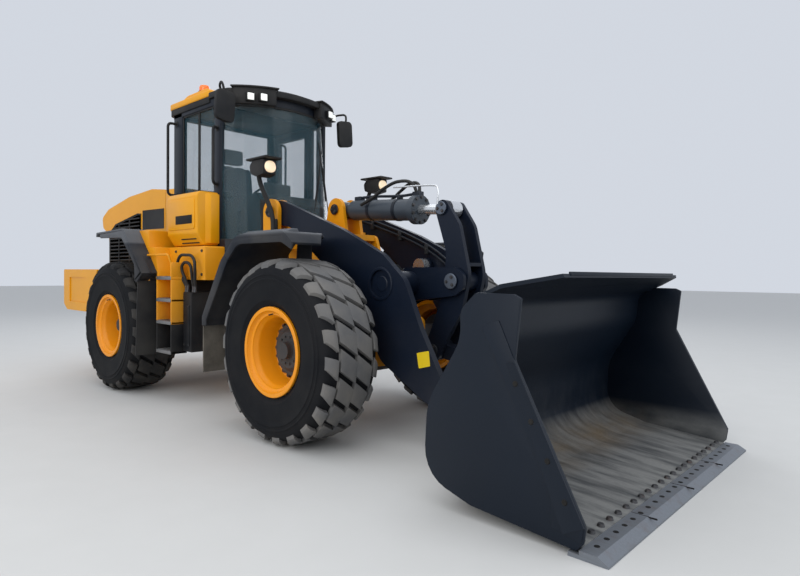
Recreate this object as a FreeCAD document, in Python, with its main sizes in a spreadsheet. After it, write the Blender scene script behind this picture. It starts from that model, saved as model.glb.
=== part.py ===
import FreeCAD, Part
import Sketcher
import math
import os

# Wheel loader, articulated, with lever linkage bucket
# X forward, Y to the left, Z up, ground at Z 0, millimetres

os.makedirs("parts", exist_ok=True)
doc = FreeCAD.newDocument("WheelLoader")
Vector = FreeCAD.Vector
Rotation = FreeCAD.Rotation

# Driving dimensions, one named cell each
sizes = {
    # running gear
    "wheelbase": 3400,
    "frontAxleX": 1215,
    "tyreRadius": 790,
    "tyreWidth": 588,
    "beadRadius": 362,
    "trackWidth": 2090,
    "flangeRadius": 381,
    "flangeOut": 272,
    "flangeThick": 24,
    "rimWall": 20,
    "discOut": 60,
    "discThick": 26,
    "hubRadius": 178,
    "hubOut": 205,
    "spindleRadius": 70,
    "runningGap": 0.3,
    "axleTubeRadius": 125,
    "brakeRadius": 225,
    "brakeLength": 190,
    "diffRadius": 290,
    "diffLength": 420,
    # articulation
    "hingePinRadius": 48,
    "hingeLugRadius": 125,
    "upperHingeZ": 1235,
    "lowerHingeZ": 640,
    "tongueThick": 60,
    "forkThick": 45,
    "forkGap": 6,
    # rear frame
    "railIn": 350,
    "railThick": 40,
    "railFrontX": -900,
    "railTopZ": 1330,
    "railLowZ": 640,
    "tailX": -4155,
    "counterRearX": -4092,
    "counterTopZ": 1480,
    "counterLowZ": 905,
    "counterHalf": 1200,
    "counterFrontX": -3250,
    "counterWingX": -2830,
    "channelHalf": 395,
    "towPinRadius": 27,
    "towSlotHigh": 120,
    "engineLength": 880,
    "engineHalf": 330,
    "engineHigh": 720,
    # hood
    "hoodFrontX": -2080,
    "hoodHalf": 640,
    "hoodWall": 16,
    "hoodTopZ": 2560,
    "hoodMidZ": 2515,
    "hoodTailZ": 2385,
    "hoodLipZ": 2270,
    "hoodTailLow": 2120,
    # cab
    "cabRearX": -1900,
    "cabCentreX": -983,
    "cabHalf": 750,
    "cabFloorZ": 1650,
    "roofRise": 185,
    "cabNoseLow": 925,
    "cabNoseHigh": 815,
    "cabWall": 55,
    "floorThick": 60,
    "glassThick": 8,
    "sillZ": 1800,
    "headerDrop": 75,
    "pillarFrontX": -745,
    "pillarRearX": -1690,
    "pillarWide": 90,
    "sideSillZ": 2345,
    "rearSillZ": 2250,
    "doorRearX": -1560,
    "doorGap": 8,
    "doorFrame": 70,
    "doorHingeRadius": 11.5,
    "doorHingeHigh": 60,
    "doorNotchLong": 170,
    "doorNotchHigh": 210,
    "roofTopZ": 3585,
    "roofHang": 55,
    "roofEdge": 60,
    "roofCrown": 70,
    # yellow box under the right window
    "boxHalf": 1010,
    "boxRearX": -1660,
    "boxFrontX": -800,
    "boxLowZ": 1790,
    # side platforms, ladders
    "deckZ": 1565,
    "deckThick": 30,
    "deckRearX": -1200,
    "deckOut": 1170,
    "steeringRadius": 190,
    "steeringTube": 16,
    "ladderRearX": -1190,
    "ladderFrontX": -830,
    "ladderLowZ": 555,
    "stepBoxTopZ": 880,
    "ladderDepth": 170,
    "stringerThick": 22,
    "treadThick": 28,
    "hoseBoxHalf": 1000,
    "hoseBoxFrontX": -640,
    "hoseBoxTopZ": 1370,
    "hoseRadius": 17,
    "hoseArchZ": 1660,
    # fenders
    "fenderOut": 1330,
    "fenderIn": 740,
    "fenderSeatY": 750.3,
    "rearFenderTopZ": 1960,
    "rearFenderBendX": -1640,
    "rearFenderFrontX": -1206,
    "rearFenderFrontZ": 1440,
    "fenderWall": 26,
    "rearArch": 1130,
    "frontArch": 1010,
    "flapLowZ": 490,
    "flapTopZ": 1000,
    "flapThick": 14,
    "flapX": 105,
    # front frame
    "plateIn": 240,
    "plateThick": 40,
    "plateFrontX": 1560,
    "plateLowZ": 560,
    "earInnerIn": 455,
    "earThick": 40,
    "earGap": 12,
    "earRadius": 132,
    "boomPinX": 215,
    "boomPinZ": 2085,
    "boomPinRadius": 45,
    "towerTopZ": 1860,
    "towerFrontX": 362,
    "tiltPinX": 660,
    "tiltPinZ": 2120,
    "tiltEarIn": 85,
    "tiltEarThick": 38,
    "tiltEarRadius": 118,
    # boom
    "boomOut": 565,
    "boomThick": 58,
    "tipPinX": 2800,
    "tipPinZ": 345,
    "tipBossRadius": 125,
    "crossTubeX": 1765,
    "crossTubeZ": 1367,
    "crossTubeRadius": 112,
    "bossRadius": 138,
    "liftPinX": 1400,
    "liftPinZ": 1540,
    "liftBaseX": 170,
    "liftBaseZ": 930,
    "liftMid": 400,
    "liftBarrelRadius": 76,
    "liftRodRadius": 42,
    "liftEyeRadius": 80,
    "liftEyeWide": 92,
    "liftPinRadius": 38,
    # lever, link
    "leverPinX": 2245,
    "leverPinZ": 1395,
    "leverTopX": 2090,
    "leverTopZ": 2035,
    "leverLowX": 2000,
    "leverLowZ": 775,
    "leverIn": 85,
    "leverThick": 45,
    "leverPinRadius": 50,
    "leverPinHead": 62,
    "bracketIn": 142,
    "bracketThick": 40,
    "linkHalf": 72,
    "linkTopX": 2795,
    "linkTopZ": 660,
    "linkEyeRadius": 92,
    # hydraulic cylinders of the lever and the steering
    "tiltBarrelRadius": 104,
    "tiltGlandRadius": 138,
    "tiltRodRadius": 45,
    "tiltBarrelEnd": 1075,
    "tiltEyeRadius": 92,
    "tiltEyeHalf": 70,
    "steerRearX": -1000,
    "steerRearY": 290,
    "steerFrontX": -95,
    "steerFrontY": 262,
    "steerZ": 900,
    "steerBarrelRadius": 50,
    "steerRodRadius": 26,
    "steerEyeRadius": 52,
    "steerEyeHigh": 56,
    "steerBarrelEnd": 520,
    "steerRodStart": 320,
    # bucket
    "bucketHalf": 1352,
    "bucketWall": 24,
    "bucketTipX": 4155,
    "edgeRearX": 3935,
    "edgeHigh": 46,
    "guardHalf": 900,
    "guardTopX": 3695,
    "guardTopZ": 1463,
    "sideTopZ": 1349,
    "bucketEarThick": 42,
    "bucketEarGap": 12,
    # small pieces
    "railTube": 17,
    "mirrorHalf": 980,
    "beaconX": -1165,
    "beaconY": -600,
    "beaconRadius": 62,
    "beaconHigh": 125,
    "lampAngle": 37,
    "lampDepth": 76,
    "lampSide": 112,
    "headLampX": 530,
    "headLampY": 790,
    "headLampZ": 2445,
}

sheet = doc.addObject("Spreadsheet::Sheet", "Sizes")
for row, (alias, number) in enumerate(sizes.items(), start=1):
    sheet.set(f"A{row}", alias)
    sheet.set(f"B{row}", str(number))
    sheet.setAlias(f"B{row}", alias)
doc.recompute()


class Size:
    """A length together with the sheet expression that it follows"""

    def __init__(self, number, text=None):
        self.number = float(number)
        self.text = text if text is not None else f"({number})"

    def __add__(self, other):
        other = size(other)
        return Size(self.number + other.number, f"({self.text} + {other.text})")

    def __sub__(self, other):
        other = size(other)
        return Size(self.number - other.number, f"({self.text} - {other.text})")

    def __mul__(self, other):
        other = size(other)
        return Size(self.number * other.number, f"({self.text} * {other.text})")

    def __truediv__(self, other):
        other = size(other)
        return Size(self.number / other.number, f"({self.text} / {other.text})")

    def __neg__(self):
        return Size(-self.number, f"(-1 * {self.text})")

    def __radd__(self, other):
        return size(other) + self

    def __rsub__(self, other):
        return size(other) - self

    def __rmul__(self, other):
        return size(other) * self

    def __float__(self):
        return self.number


def size(value):
    return value if isinstance(value, Size) else Size(value)


class Sheet:
    """Reads a driving dimension by its name"""

    def __getattr__(self, alias):
        return Size(float(sheet.get(alias)), f"Sizes.{alias}")


d = Sheet()
names = {}
nodes = {}


def fresh(name):
    names[name] = names.get(name, 0) + 1
    return f"{name}_{names[name]}"


def place(obj, x=0, y=0, z=0):
    for axis, value in zip("xyz", (x, y, z)):
        obj.setExpression(f"Placement.Base.{axis}", size(value).text)
    return obj


def box(x0, x1, y0, y1, z0, z1, name="box"):
    obj = doc.addObject("Part::Box", fresh(name))
    obj.setExpression("Length", (size(x1) - x0).text)
    obj.setExpression("Width", (size(y1) - y0).text)
    obj.setExpression("Height", (size(z1) - z0).text)
    return place(obj, x0, y0, z0)


turns = {
    "X": Rotation(Vector(0, 1, 0), 90),
    "Y": Rotation(Vector(1, 0, 0), -90),
    "Z": Rotation(),
}


def rod(axis, start, x, y, z, end, radius, name="rod"):
    """Cylinder along one axis, from start to end on it, through the point of the other two"""
    obj = doc.addObject("Part::Cylinder", fresh(name))
    obj.setExpression("Radius", size(radius).text)
    obj.setExpression("Height", (size(end) - start).text)
    obj.Placement = FreeCAD.Placement(Vector(), turns[axis])
    at = {"X": (start, y, z), "Y": (x, start, z), "Z": (x, y, start)}[axis]
    return place(obj, *at)


planes = {
    "XZ": (Rotation(Vector(1, 0, 0), 90), (0, 1, 0), 1),
    "XY": (Rotation(), (0, 0, 1), 2),
    "YZ": (Rotation(Vector(1, 1, 1), 120), (1, 0, 0), 0),
}


def outline(corners, plane="XZ", offset=0, name="outline"):
    """Closed sketch whose corners are bound to the sheet"""
    turn, normal, index = planes[plane]
    sketch = doc.addObject("Sketcher::SketchObject", fresh(name))
    sketch.Placement = FreeCAD.Placement(Vector(), turn)
    points = [(size(c[0]), size(c[1])) for c in corners]
    count = len(points)
    for i in range(count):
        a = points[i]
        b = points[(i + 1) % count]
        line = Part.LineSegment(Vector(a[0].number, a[1].number, 0), Vector(b[0].number, b[1].number, 0))
        sketch.addGeometry(line, False)
    for i in range(count):
        sketch.addConstraint(Sketcher.Constraint("Coincident", i, 2, (i + 1) % count, 1))
    for i, point in enumerate(points):
        for kind, value in zip(("DistanceX", "DistanceY"), point):
            at = sketch.addConstraint(Sketcher.Constraint(kind, -1, 1, i, 1, value.number))
            sketch.setExpression(f"Constraints[{at}]", value.text)
    where = [0, 0, 0]
    where[index] = offset
    return place(sketch, *where)


def slab(corners, low, high, plane="XZ", name="slab"):
    """Plate of a closed outline; a corner's third value is its rounding radius"""
    sketch = outline(corners, plane, low, name)
    solid = doc.addObject("Part::Extrusion", fresh(name))
    solid.Base = sketch
    solid.DirMode = "Custom"
    solid.Dir = Vector(*planes[plane][1])
    solid.setExpression("LengthFwd", (size(high) - low).text)
    solid.Solid = True
    rounded = [(float(c[0]), float(c[1]), float(c[2])) for c in corners if len(c) > 2]
    if not rounded:
        return solid
    doc.recompute()
    keep = [i for i in range(3) if i != planes[plane][2]]
    edges = []
    for number, edge in enumerate(solid.Shape.Edges, start=1):
        ends = [v.Point for v in edge.Vertexes]
        if len(ends) < 2 or abs((ends[1] - ends[0])[planes[plane][2]]) < 1e-6:
            continue
        for a, b, radius in rounded:
            if abs(ends[0][keep[0]] - a) < 1e-3 and abs(ends[0][keep[1]] - b) < 1e-3:
                edges.append((number, radius, radius))
    fillet = doc.addObject("Part::Fillet", fresh(name + "_rounded"))
    fillet.Base = solid
    fillet.Edges = edges
    return fillet


def turned(profile, x, y, z, name="turned"):
    """Ring or disc turned about an axis along Y; profile corners are (along Y, radius)"""
    sketch = outline(profile, "YZ", 0, name)
    ring = doc.addObject("Part::Revolution", fresh(name))
    ring.Source = sketch
    ring.Axis = Vector(0, 1, 0)
    ring.Base = Vector()
    ring.Angle = 360
    ring.Solid = True
    return place(ring, x, y, z)


def fused(parts, name="fused"):
    if len(parts) == 1:
        return parts[0]
    obj = doc.addObject("Part::MultiFuse", fresh(name))
    obj.Shapes = parts
    return obj


def cut(base, tools, name="cut"):
    obj = doc.addObject("Part::Cut", fresh(name))
    obj.Base = base
    obj.Tool = fused(tools, name + "_tools")
    return obj


def common(a, b, name="common"):
    obj = doc.addObject("Part::Common", fresh(name))
    obj.Base = a
    obj.Tool = b
    return obj


def mirrored(source, name="mirrored"):
    obj = doc.addObject("Part::Mirroring", fresh(name))
    obj.Source = source
    obj.Normal = Vector(0, 1, 0)
    return obj


def both(source, name="pair"):
    """The piece and its mirror image across the centre plane"""
    return fused([source, mirrored(source, name)], name)


def group(parts, name="group"):
    """Solids of one node that stay apart"""
    obj = doc.addObject("Part::Compound", fresh(name))
    obj.Links = parts
    return obj


def shaped(shape, name="shape"):
    obj = doc.addObject("Part::Feature", fresh(name))
    obj.Shape = shape
    return obj


def node(obj, name):
    obj.Label = name
    nodes[name] = obj
    return obj


def tube(points, radius, name="tube"):
    """Round tube along straight runs joined by tangent arcs; points are (x, y, z, bend radius)"""
    spots = [Vector(*(float(v) for v in p[:3])) for p in points]
    edges = []
    start = spots[0]
    for i in range(1, len(spots) - 1):
        here = spots[i]
        back = (spots[i - 1] - here).normalize()
        ahead = (spots[i + 1] - here).normalize()
        half = back.getAngle(ahead) / 2
        reach = float(points[i][3]) / math.tan(half)
        enter = here + back * reach
        leave = here + ahead * reach
        middle = (back + ahead).normalize()
        centre = here + middle * (float(points[i][3]) / math.sin(half))
        peak = centre - middle * float(points[i][3])
        edges.append(Part.makeLine(start, enter))
        edges.append(Part.Arc(enter, peak, leave).toShape())
        start = leave
    edges.append(Part.makeLine(start, spots[-1]))
    path = Part.Wire(edges)
    direction = spots[1] - spots[0]
    ring = Part.Wire(Part.makeCircle(float(radius), spots[0], direction))
    return path.makePipeShell([ring], True, False)


def strut(a, b, start, end, radius, y, name="strut"):
    """Round bar in a plane of constant Y, on the line from pin a to pin b, from start to end along it"""
    ax, az = (float(v) for v in a)
    bx, bz = (float(v) for v in b)
    angle = math.degrees(math.atan2(ax - bx, bz - az))
    along = Vector(bx - ax, 0, bz - az).normalize()
    obj = doc.addObject("Part::Cylinder", fresh(name))
    obj.setExpression("Radius", size(radius).text)
    obj.setExpression("Height", (size(end) - start).text)
    foot = Vector(ax, 0, az) + along * float(start)
    obj.Placement = FreeCAD.Placement(foot, Rotation(Vector(0, 1, 0), -angle))
    obj.setExpression("Placement.Base.y", size(y).text)
    return obj


pivotX = d.frontAxleX - d.wheelbase / 2
eaveZ = d.roofTopZ - d.roofRise
headerZ = eaveZ - d.headerDrop
rearAxleX = d.frontAxleX - d.wheelbase
axleZ = d.tyreRadius
hubY = d.trackWidth / 2


def wheel(name, x, side):
    """Tyre and rim; profile positions grow outboard from the wheel's centre plane"""
    y = hubY * side
    half = d.tyreWidth / 2
    crown = d.tyreRadius
    bead = d.beadRadius
    tyreProfile = [
        (half - 54, bead + 0.3),
        (half - 47, d.flangeRadius + 8),
        (half - 12, bead + (crown - bead) * 0.30),
        (half, bead + (crown - bead) * 0.50),
        (half - 6, bead + (crown - bead) * 0.72),
        (half - 26, crown - 45),
        (half - 70, crown - 8),
        (half - 150, crown),
    ]
    full = tyreProfile + [(-p[0], p[1]) for p in reversed(tyreProfile)]
    node(turned(full, x, y, axleZ, name + "_tyre"), "tyre_" + name)
    out = d.flangeOut
    wall = d.rimWall
    step = d.flangeThick
    rimProfile = [
        (-out, bead - wall),
        (-out, d.flangeRadius),
        (-out + step, d.flangeRadius),
        (-out + step + 4, bead),
        (out - step - 4, bead),
        (out - step, d.flangeRadius),
        (out, d.flangeRadius),
        (out, bead - wall),
        (d.discOut + d.discThick + 20, bead - wall - 8),
        (d.discOut + d.discThick, bead - wall - 60),
        (d.discOut + d.discThick, d.hubRadius),
        (d.hubOut, d.hubRadius - 20),
        (d.hubOut + 12, d.hubRadius - 60),
        (d.hubOut + 12, 0),
        (d.hubOut - 60, 0),
        (d.hubOut - 60, d.spindleRadius + d.runningGap),
        (d.discOut, d.spindleRadius + d.runningGap),
        (d.discOut, bead - wall - 60),
        (d.discOut - 40, bead - wall),
    ]
    if side < 0:
        rimProfile = [(-p[0], p[1]) for p in reversed(rimProfile)]
    node(turned(rimProfile, x, y, axleZ, name + "_rim"), "rim_" + name)


for axleName, axleX in (("front", d.frontAxleX), ("rear", rearAxleX)):
    wheel(axleName + "_left", axleX, 1)
    wheel(axleName + "_right", axleX, -1)


def axle(name, x, noseSide):
    """Axle housing with its differential, brake housings and wheel spindles"""
    end = hubY + d.hubOut - 60 - 5
    brakeEnd = hubY + d.discOut - 14
    tubeSolid = rod("Y", -brakeEnd, x, 0, axleZ, brakeEnd, d.axleTubeRadius, name)
    spindle = rod("Y", -end, x, 0, axleZ, end, d.spindleRadius, name)
    bulge = [(d.diffLength / 2, d.axleTubeRadius + 20), (d.diffLength / 2 - 60, d.diffRadius - 70),
             (d.diffLength / 4 - 20, d.diffRadius)]
    bulge = bulge + [(-p[0], p[1]) for p in reversed(bulge)]
    centre = turned(bulge + [(-d.diffLength / 2, 0), (d.diffLength / 2, 0)], x, 0, axleZ, name)
    brake = rod("Y", brakeEnd - d.brakeLength, x, 0, axleZ, brakeEnd, d.brakeRadius, name)
    reachX = d.diffRadius + 110
    nose = rod("X", x - reachX if noseSide < 0 else x, 0, 0, axleZ, x if noseSide < 0 else x + reachX, 95, name)
    return node(fused([tubeSolid, spindle, centre, both(brake, name), nose], name), name)


axle("front_axle", d.frontAxleX, -1)
axle("rear_axle", rearAxleX, 1)

# Articulation: fork plates on the rear frame hold the pins, tongues on the front frame turn on them
forkPlates = []
tongues = []
for level in (d.lowerHingeZ, d.upperHingeZ):
    tongueLow = level - d.tongueThick / 2
    tongueHigh = level + d.tongueThick / 2
    for low, high in ((tongueLow - d.forkGap - d.forkThick, tongueLow - d.forkGap),
                      (tongueHigh + d.forkGap, tongueHigh + d.forkGap + d.forkThick)):
        forkPlates.append(rod("Z", low, pivotX, 0, 0, high, d.hingeLugRadius))
        forkPlates.append(slab([(d.railFrontX - 60, -d.railIn - d.railThick), (d.railFrontX - 60, d.railIn + d.railThick),
                                (pivotX, d.hingeLugRadius), (pivotX, -d.hingeLugRadius)], low, high, "XY", "fork"))
    forkPlates.append(rod("Z", tongueLow - d.forkGap - d.forkThick, pivotX, 0, 0,
                          tongueHigh + d.forkGap + d.forkThick, d.hingePinRadius))
    ring = rod("Z", tongueLow, pivotX, 0, 0, tongueHigh, d.hingeLugRadius)
    arm = slab([(pivotX, -d.hingeLugRadius), (pivotX, d.hingeLugRadius),
                (pivotX + 420, d.plateIn + d.plateThick), (pivotX + 420, -d.plateIn - d.plateThick)], tongueLow, tongueHigh, "XY", "tongue")
    bore = rod("Z", tongueLow - 5, pivotX, 0, 0, tongueHigh + 5, d.hingePinRadius + d.runningGap)
    tongues.append(cut(fused([ring, arm]), [bore]))

# Rear frame: two rails, cross members, fork, cab stands and the tail beam
railOutline = [
    (d.railFrontX - 60, d.lowerHingeZ - 81),
    (d.railFrontX - 60, d.railTopZ),
    (d.cabRearX, d.railTopZ),
    (d.counterFrontX + 20.3, d.railTopZ - 80),
    (d.counterFrontX + 20.3, d.railLowZ + 260),
    (rearAxleX - 420, d.railLowZ + 260),
    (rearAxleX - 250, d.railLowZ + 330),
    (rearAxleX + 250, d.railLowZ + 330),
    (rearAxleX + 420, d.railLowZ - 20),
]
rail = slab(railOutline, d.railIn, d.railIn + d.railThick, "XZ", "rail")
engineFront = d.hoodFrontX - 180
crossSpots = (d.railFrontX - 60, d.cabRearX, engineFront - 80, engineFront - d.engineLength + 140)
crossPieces = [box(x - 40, x, -d.railIn, d.railIn, d.railTopZ - 220, d.railTopZ - 82, "cross") for x in crossSpots]
belly = box(rearAxleX + 420, d.railFrontX - 60, -d.railIn, d.railIn, d.lowerHingeZ - 81, d.lowerHingeZ - 51, "belly")
axleSeat = box(rearAxleX - 120, rearAxleX + 120, d.railIn, d.railIn + d.railThick,
               axleZ + d.axleTubeRadius + 0.3, d.railLowZ + 340, "seat")
standOut = d.railIn + d.railThick + 160
cabStands = [box(x, x + 60, d.railIn, standOut, d.railTopZ - 200, d.cabFloorZ - 0.3, "stand")
             for x in (d.cabRearX + 60, d.railFrontX - 160)]
steerLugs = []
for z in (d.steerZ - d.steerEyeHigh / 2 - d.runningGap - 30, d.steerZ + d.steerEyeHigh / 2 + d.runningGap):
    steerLugs.append(box(d.steerRearX - 60, d.steerRearX + 50, d.steerRearY - 62, d.railIn + 10, z, z + 30, "lug"))
rearChassis = fused([both(rail), both(axleSeat), belly]
                    + [both(stand) for stand in cabStands]
                    + crossPieces + forkPlates + [both(lug) for lug in steerLugs], "rear_chassis")
node(rearChassis, "rear_chassis")

# Engine: one plain block on the rails
node(box(engineFront - d.engineLength, engineFront, -d.engineHalf, d.engineHalf,
         d.railTopZ - 82 + 0.3, d.railTopZ - 82 + d.engineHigh, "engine"), "engine_block")

# Counterweight with its towing pin slot
counterOutline = [
    (d.counterRearX, d.counterTopZ, 30),
    (d.counterRearX, d.counterLowZ + 80, 60),
    (d.counterRearX + 135, d.counterLowZ, 60),
    (d.counterFrontX, d.counterLowZ, 20),
    (d.counterWingX, d.counterTopZ, 20),
]
counterBlock = slab(counterOutline, -d.counterHalf, d.counterHalf, "XZ", "counter")
slotZ = d.counterLowZ + 240
slot = box(d.counterRearX - 20, d.counterRearX + 330, -110, 110, slotZ - d.towSlotHigh / 2, slotZ + d.towSlotHigh / 2, "slot")
towBore = rod("Z", d.counterLowZ - 20, d.counterRearX + 150, 0, 0, slotZ + 160, d.towPinRadius)
channel = box(d.counterFrontX + 20, d.counterWingX + 20, -d.channelHalf, d.channelHalf,
              d.counterLowZ - 20, d.counterTopZ + 20, "channel")
panel = box(d.counterRearX + 230, d.counterFrontX + 20, d.counterHalf - 14, d.counterHalf + 20,
            d.counterLowZ + 120, d.counterTopZ - 110, "panel")
node(cut(counterBlock, [slot, towBore, channel, both(panel)], "counterweight"), "counterweight")

# Hood: curved shell over the engine
hoodTail = d.tailX - 10
hoodLowZ = d.counterTopZ + 0.3
hoodCorners = [
    (d.hoodFrontX, hoodLowZ),
    (d.hoodFrontX, d.hoodTopZ - 40, 30),
    (-2460, d.hoodTopZ, 400),
    (-3180, d.hoodMidZ, 500),
    (-3930, d.hoodTailZ, 260),
    (hoodTail + 10, d.hoodLipZ, 60),
    (hoodTail + 40, d.hoodTailLow, 60),
    (hoodTail + 260, d.hoodTailLow - 120, 60),
    (hoodTail + 300, hoodLowZ),
]
hoodInner = [
    (d.hoodFrontX + 10, hoodLowZ - 10),
    (d.hoodFrontX + 10, d.hoodTopZ - 40 - d.hoodWall),
    (-2460, d.hoodTopZ - d.hoodWall, 372),
    (-3180, d.hoodMidZ - d.hoodWall, 472),
    (-3920, d.hoodTailZ - d.hoodWall, 232),
    (hoodTail + 45, d.hoodLipZ - d.hoodWall - 20, 32),
    (hoodTail + 70, d.hoodTailLow, 40),
    (hoodTail + 290, d.hoodTailLow - 120 - d.hoodWall, 40),
    (hoodTail + 300 + d.hoodWall, hoodLowZ - 10),
]
hoodOuter = slab(hoodCorners, -d.hoodHalf, d.hoodHalf, "XZ", "hood")
hoodHollow = slab(hoodInner, -d.hoodHalf + d.hoodWall, d.hoodHalf - d.hoodWall, "XZ", "hood_hollow")
node(cut(hoodOuter, [hoodHollow], "hood"), "hood")


def cabForm(inset, low, high, grow=0):
    """Cab volume: straight sides, nose swept forward in plan"""
    half = d.cabHalf - inset
    back = box(d.cabRearX + inset, d.cabCentreX, -half, half, low, high, "cab_back")
    front = box(d.cabCentreX, d.cabCentreX + 1000, -half, half, low, high, "cab_front")
    cone = doc.addObject("Part::Cone", fresh("cab_nose"))
    spread = (d.cabNoseLow - d.cabNoseHigh) / (eaveZ - d.cabFloorZ)
    cone.setExpression("Radius1", (d.cabNoseLow - inset - spread * (size(low) - d.cabFloorZ)).text)
    cone.setExpression("Radius2", (d.cabNoseLow - inset - spread * (size(high) - d.cabFloorZ)).text)
    cone.setExpression("Height", (size(high) - low).text)
    place(cone, d.cabCentreX, 0, low)
    return fused([back, common(front, cone)], "cab_form")


# Window and door openings, as (x0, x1, y0, y1, z0, z1)
reach = d.cabHalf + 60
inside = d.cabHalf - d.cabWall - 60
openingsOfCab = {
    "right": (d.pillarRearX + d.pillarWide, d.pillarFrontX - d.pillarWide, -reach, -inside, d.sideSillZ, headerZ),
    "front": (d.pillarFrontX, d.cabCentreX + 1100, -reach, reach, d.sillZ, headerZ),
    "rear": (d.cabRearX - 60, d.cabRearX + d.cabWall + 60, -d.cabHalf + 140, d.cabHalf - 140, d.rearSillZ, headerZ),
}
doorHingeX = d.pillarFrontX - d.pillarWide - d.doorGap / 2
doorHingeY = d.cabHalf + d.doorHingeRadius + 0.5
doorHingeHeights = (d.cabFloorZ + 350, headerZ - 400)


def hingeHalf(low, start, end):
    """One knuckle on the door's hinge line, with the flat leaf that carries it"""
    knuckle = rod("Z", low, doorHingeX, doorHingeY, 0, low + d.doorHingeHigh, d.doorHingeRadius, "knuckle")
    leaf = box(start, end, d.cabHalf, doorHingeY - 3, low, low + d.doorHingeHigh, "leaf")
    return fused([knuckle, leaf])


cabOuter = cabForm(size(0), d.cabFloorZ, eaveZ)
cabInner = cabForm(d.cabWall, d.cabFloorZ + d.floorThick, eaveZ - 40)
windowBoxes = [box(*openingsOfCab[key], "window") for key in ("right", "front", "rear")]
doorLow = d.cabFloorZ + d.floorThick
doorFrontX = d.pillarFrontX - d.pillarWide
windowBoxes.append(slab([
    (d.doorRearX, doorLow + d.doorNotchHigh), (d.doorRearX + d.doorNotchLong, doorLow), (doorFrontX, doorLow),
    (doorFrontX, headerZ), (d.doorRearX, headerZ),
], inside, reach, "XZ", "doorway"))
frameKnuckles = [hingeHalf(z + d.doorHingeHigh + d.runningGap, doorHingeX, doorHingeX + 44)
                 for z in doorHingeHeights]
node(fused([cut(cabOuter, [cabInner] + windowBoxes)] + frameKnuckles, "cab_shell"), "cab_frame")

# Glass: a thin skin inside the shell's wall, only at the openings
glassInset = d.cabWall / 2
glassOuter = cabForm(glassInset - d.glassThick / 2, d.cabFloorZ + 100, eaveZ - 50)
glassInner = cabForm(glassInset + d.glassThick / 2, d.cabFloorZ + 80, eaveZ - 30)
glassSkin = cut(glassOuter, [glassInner], "glass")
paneBoxes = [box(*openingsOfCab[key], "pane") for key in ("right", "front", "rear")]
node(common(glassSkin, fused(paneBoxes), "cab_glass"), "cab_glass")

# Left door: a frame in its opening, with its own pane
doorX0 = d.doorRearX + d.doorGap
doorX1 = d.pillarFrontX - d.pillarWide - d.doorGap
doorZ0 = d.cabFloorZ + d.floorThick + d.doorGap
doorZ1 = headerZ - d.doorGap
doorY1 = d.cabHalf
doorY0 = d.cabHalf - d.cabWall


def doorOutline(inset):
    """Door shape in the XZ plane, its lower rear corner cut off over the fender"""
    x0 = doorX0 + inset
    z0 = doorZ0 + inset
    slope = inset * 0.4
    return [(x0, z0 + d.doorNotchHigh - slope), (x0 + d.doorNotchLong - slope, z0), (doorX1 - inset, z0),
            (doorX1 - inset, doorZ1 - inset), (x0, doorZ1 - inset)]


doorSlab = slab(doorOutline(size(0)), doorY0, doorY1, "XZ", "door")
doorLight = slab(doorOutline(d.doorFrame), doorY0 - 20, doorY1 + 20, "XZ", "door_light")
doorKnuckles = [hingeHalf(z, doorHingeX - 44, doorHingeX) for z in doorHingeHeights]
node(fused([cut(doorSlab, [doorLight])] + doorKnuckles, "cab_door"), "cab_door")
node(slab(doorOutline(d.doorFrame), doorY1 - glassInset - d.glassThick / 2,
          doorY1 - glassInset + d.glassThick / 2, "XZ", "pane"), "door_glass")

# Roof: crowned cap with an overhang all round
roofLow = eaveZ
roofRear = box(d.cabRearX - d.roofHang, d.cabCentreX, -d.cabHalf - 20, d.cabHalf + 20, roofLow, roofLow + d.roofEdge, "roof")
roofFront = box(d.cabCentreX, d.cabCentreX + 1000, -d.cabHalf - 20, d.cabHalf + 20, roofLow, roofLow + d.roofEdge, "roof")
roofDisc = rod("Z", roofLow, d.cabCentreX, 0, 0, roofLow + d.roofEdge, d.cabNoseHigh + 70)
crownOutline = [
    (d.cabRearX - 20, roofLow + d.roofEdge),
    (d.cabCentreX + 700, roofLow + d.roofEdge),
    (d.cabCentreX + 420, d.roofTopZ, 120),
    (d.cabRearX + 180, d.roofTopZ, 120),
]
crown = slab(crownOutline, -d.cabHalf + 90, d.cabHalf - 90, "XZ", "crown")
node(fused([roofRear, common(roofFront, roofDisc), crown], "cab_roof"), "cab_roof")

# Seat, console and steering column, on the cab floor
floorZ = d.cabFloorZ + d.floorThick
seatBase = box(-1500, -1050, -200, 200, floorZ, floorZ + 330, "seat")
seatPan = box(-1560, -1010, -260, 260, floorZ + 330, floorZ + 470, "seat")
seatBack = slab([(-1560, floorZ + 470), (-1640, floorZ + 1120, 40), (-1530, floorZ + 1150, 40), (-1420, floorZ + 470)],
                -250, 250, "XZ", "seat")
console = box(-1500, -1000, -470, -290, floorZ, floorZ + 620, "console")
column = slab([(-560, floorZ), (-640, floorZ + 620), (-560, floorZ + 660), (-420, floorZ)], -110, 110, "XZ", "column")
wheelRing = doc.addObject("Part::Torus", fresh("steering_ring"))
wheelRing.setExpression("Radius1", d.steeringRadius.text)
wheelRing.setExpression("Radius2", d.steeringTube.text)
wheelRing.Placement = FreeCAD.Placement(Vector(-640, 0, float(floorZ) + 700), Rotation(Vector(0, 1, 0), -25))
wheelSpoke = box(-660, -600, -d.steeringRadius, d.steeringRadius, floorZ + 600, floorZ + 700, "spoke")
node(group([fused([seatBase, seatPan, seatBack]), console, fused([column, wheelSpoke, wheelRing])], "operator_seat"),
     "operator_station")

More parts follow.
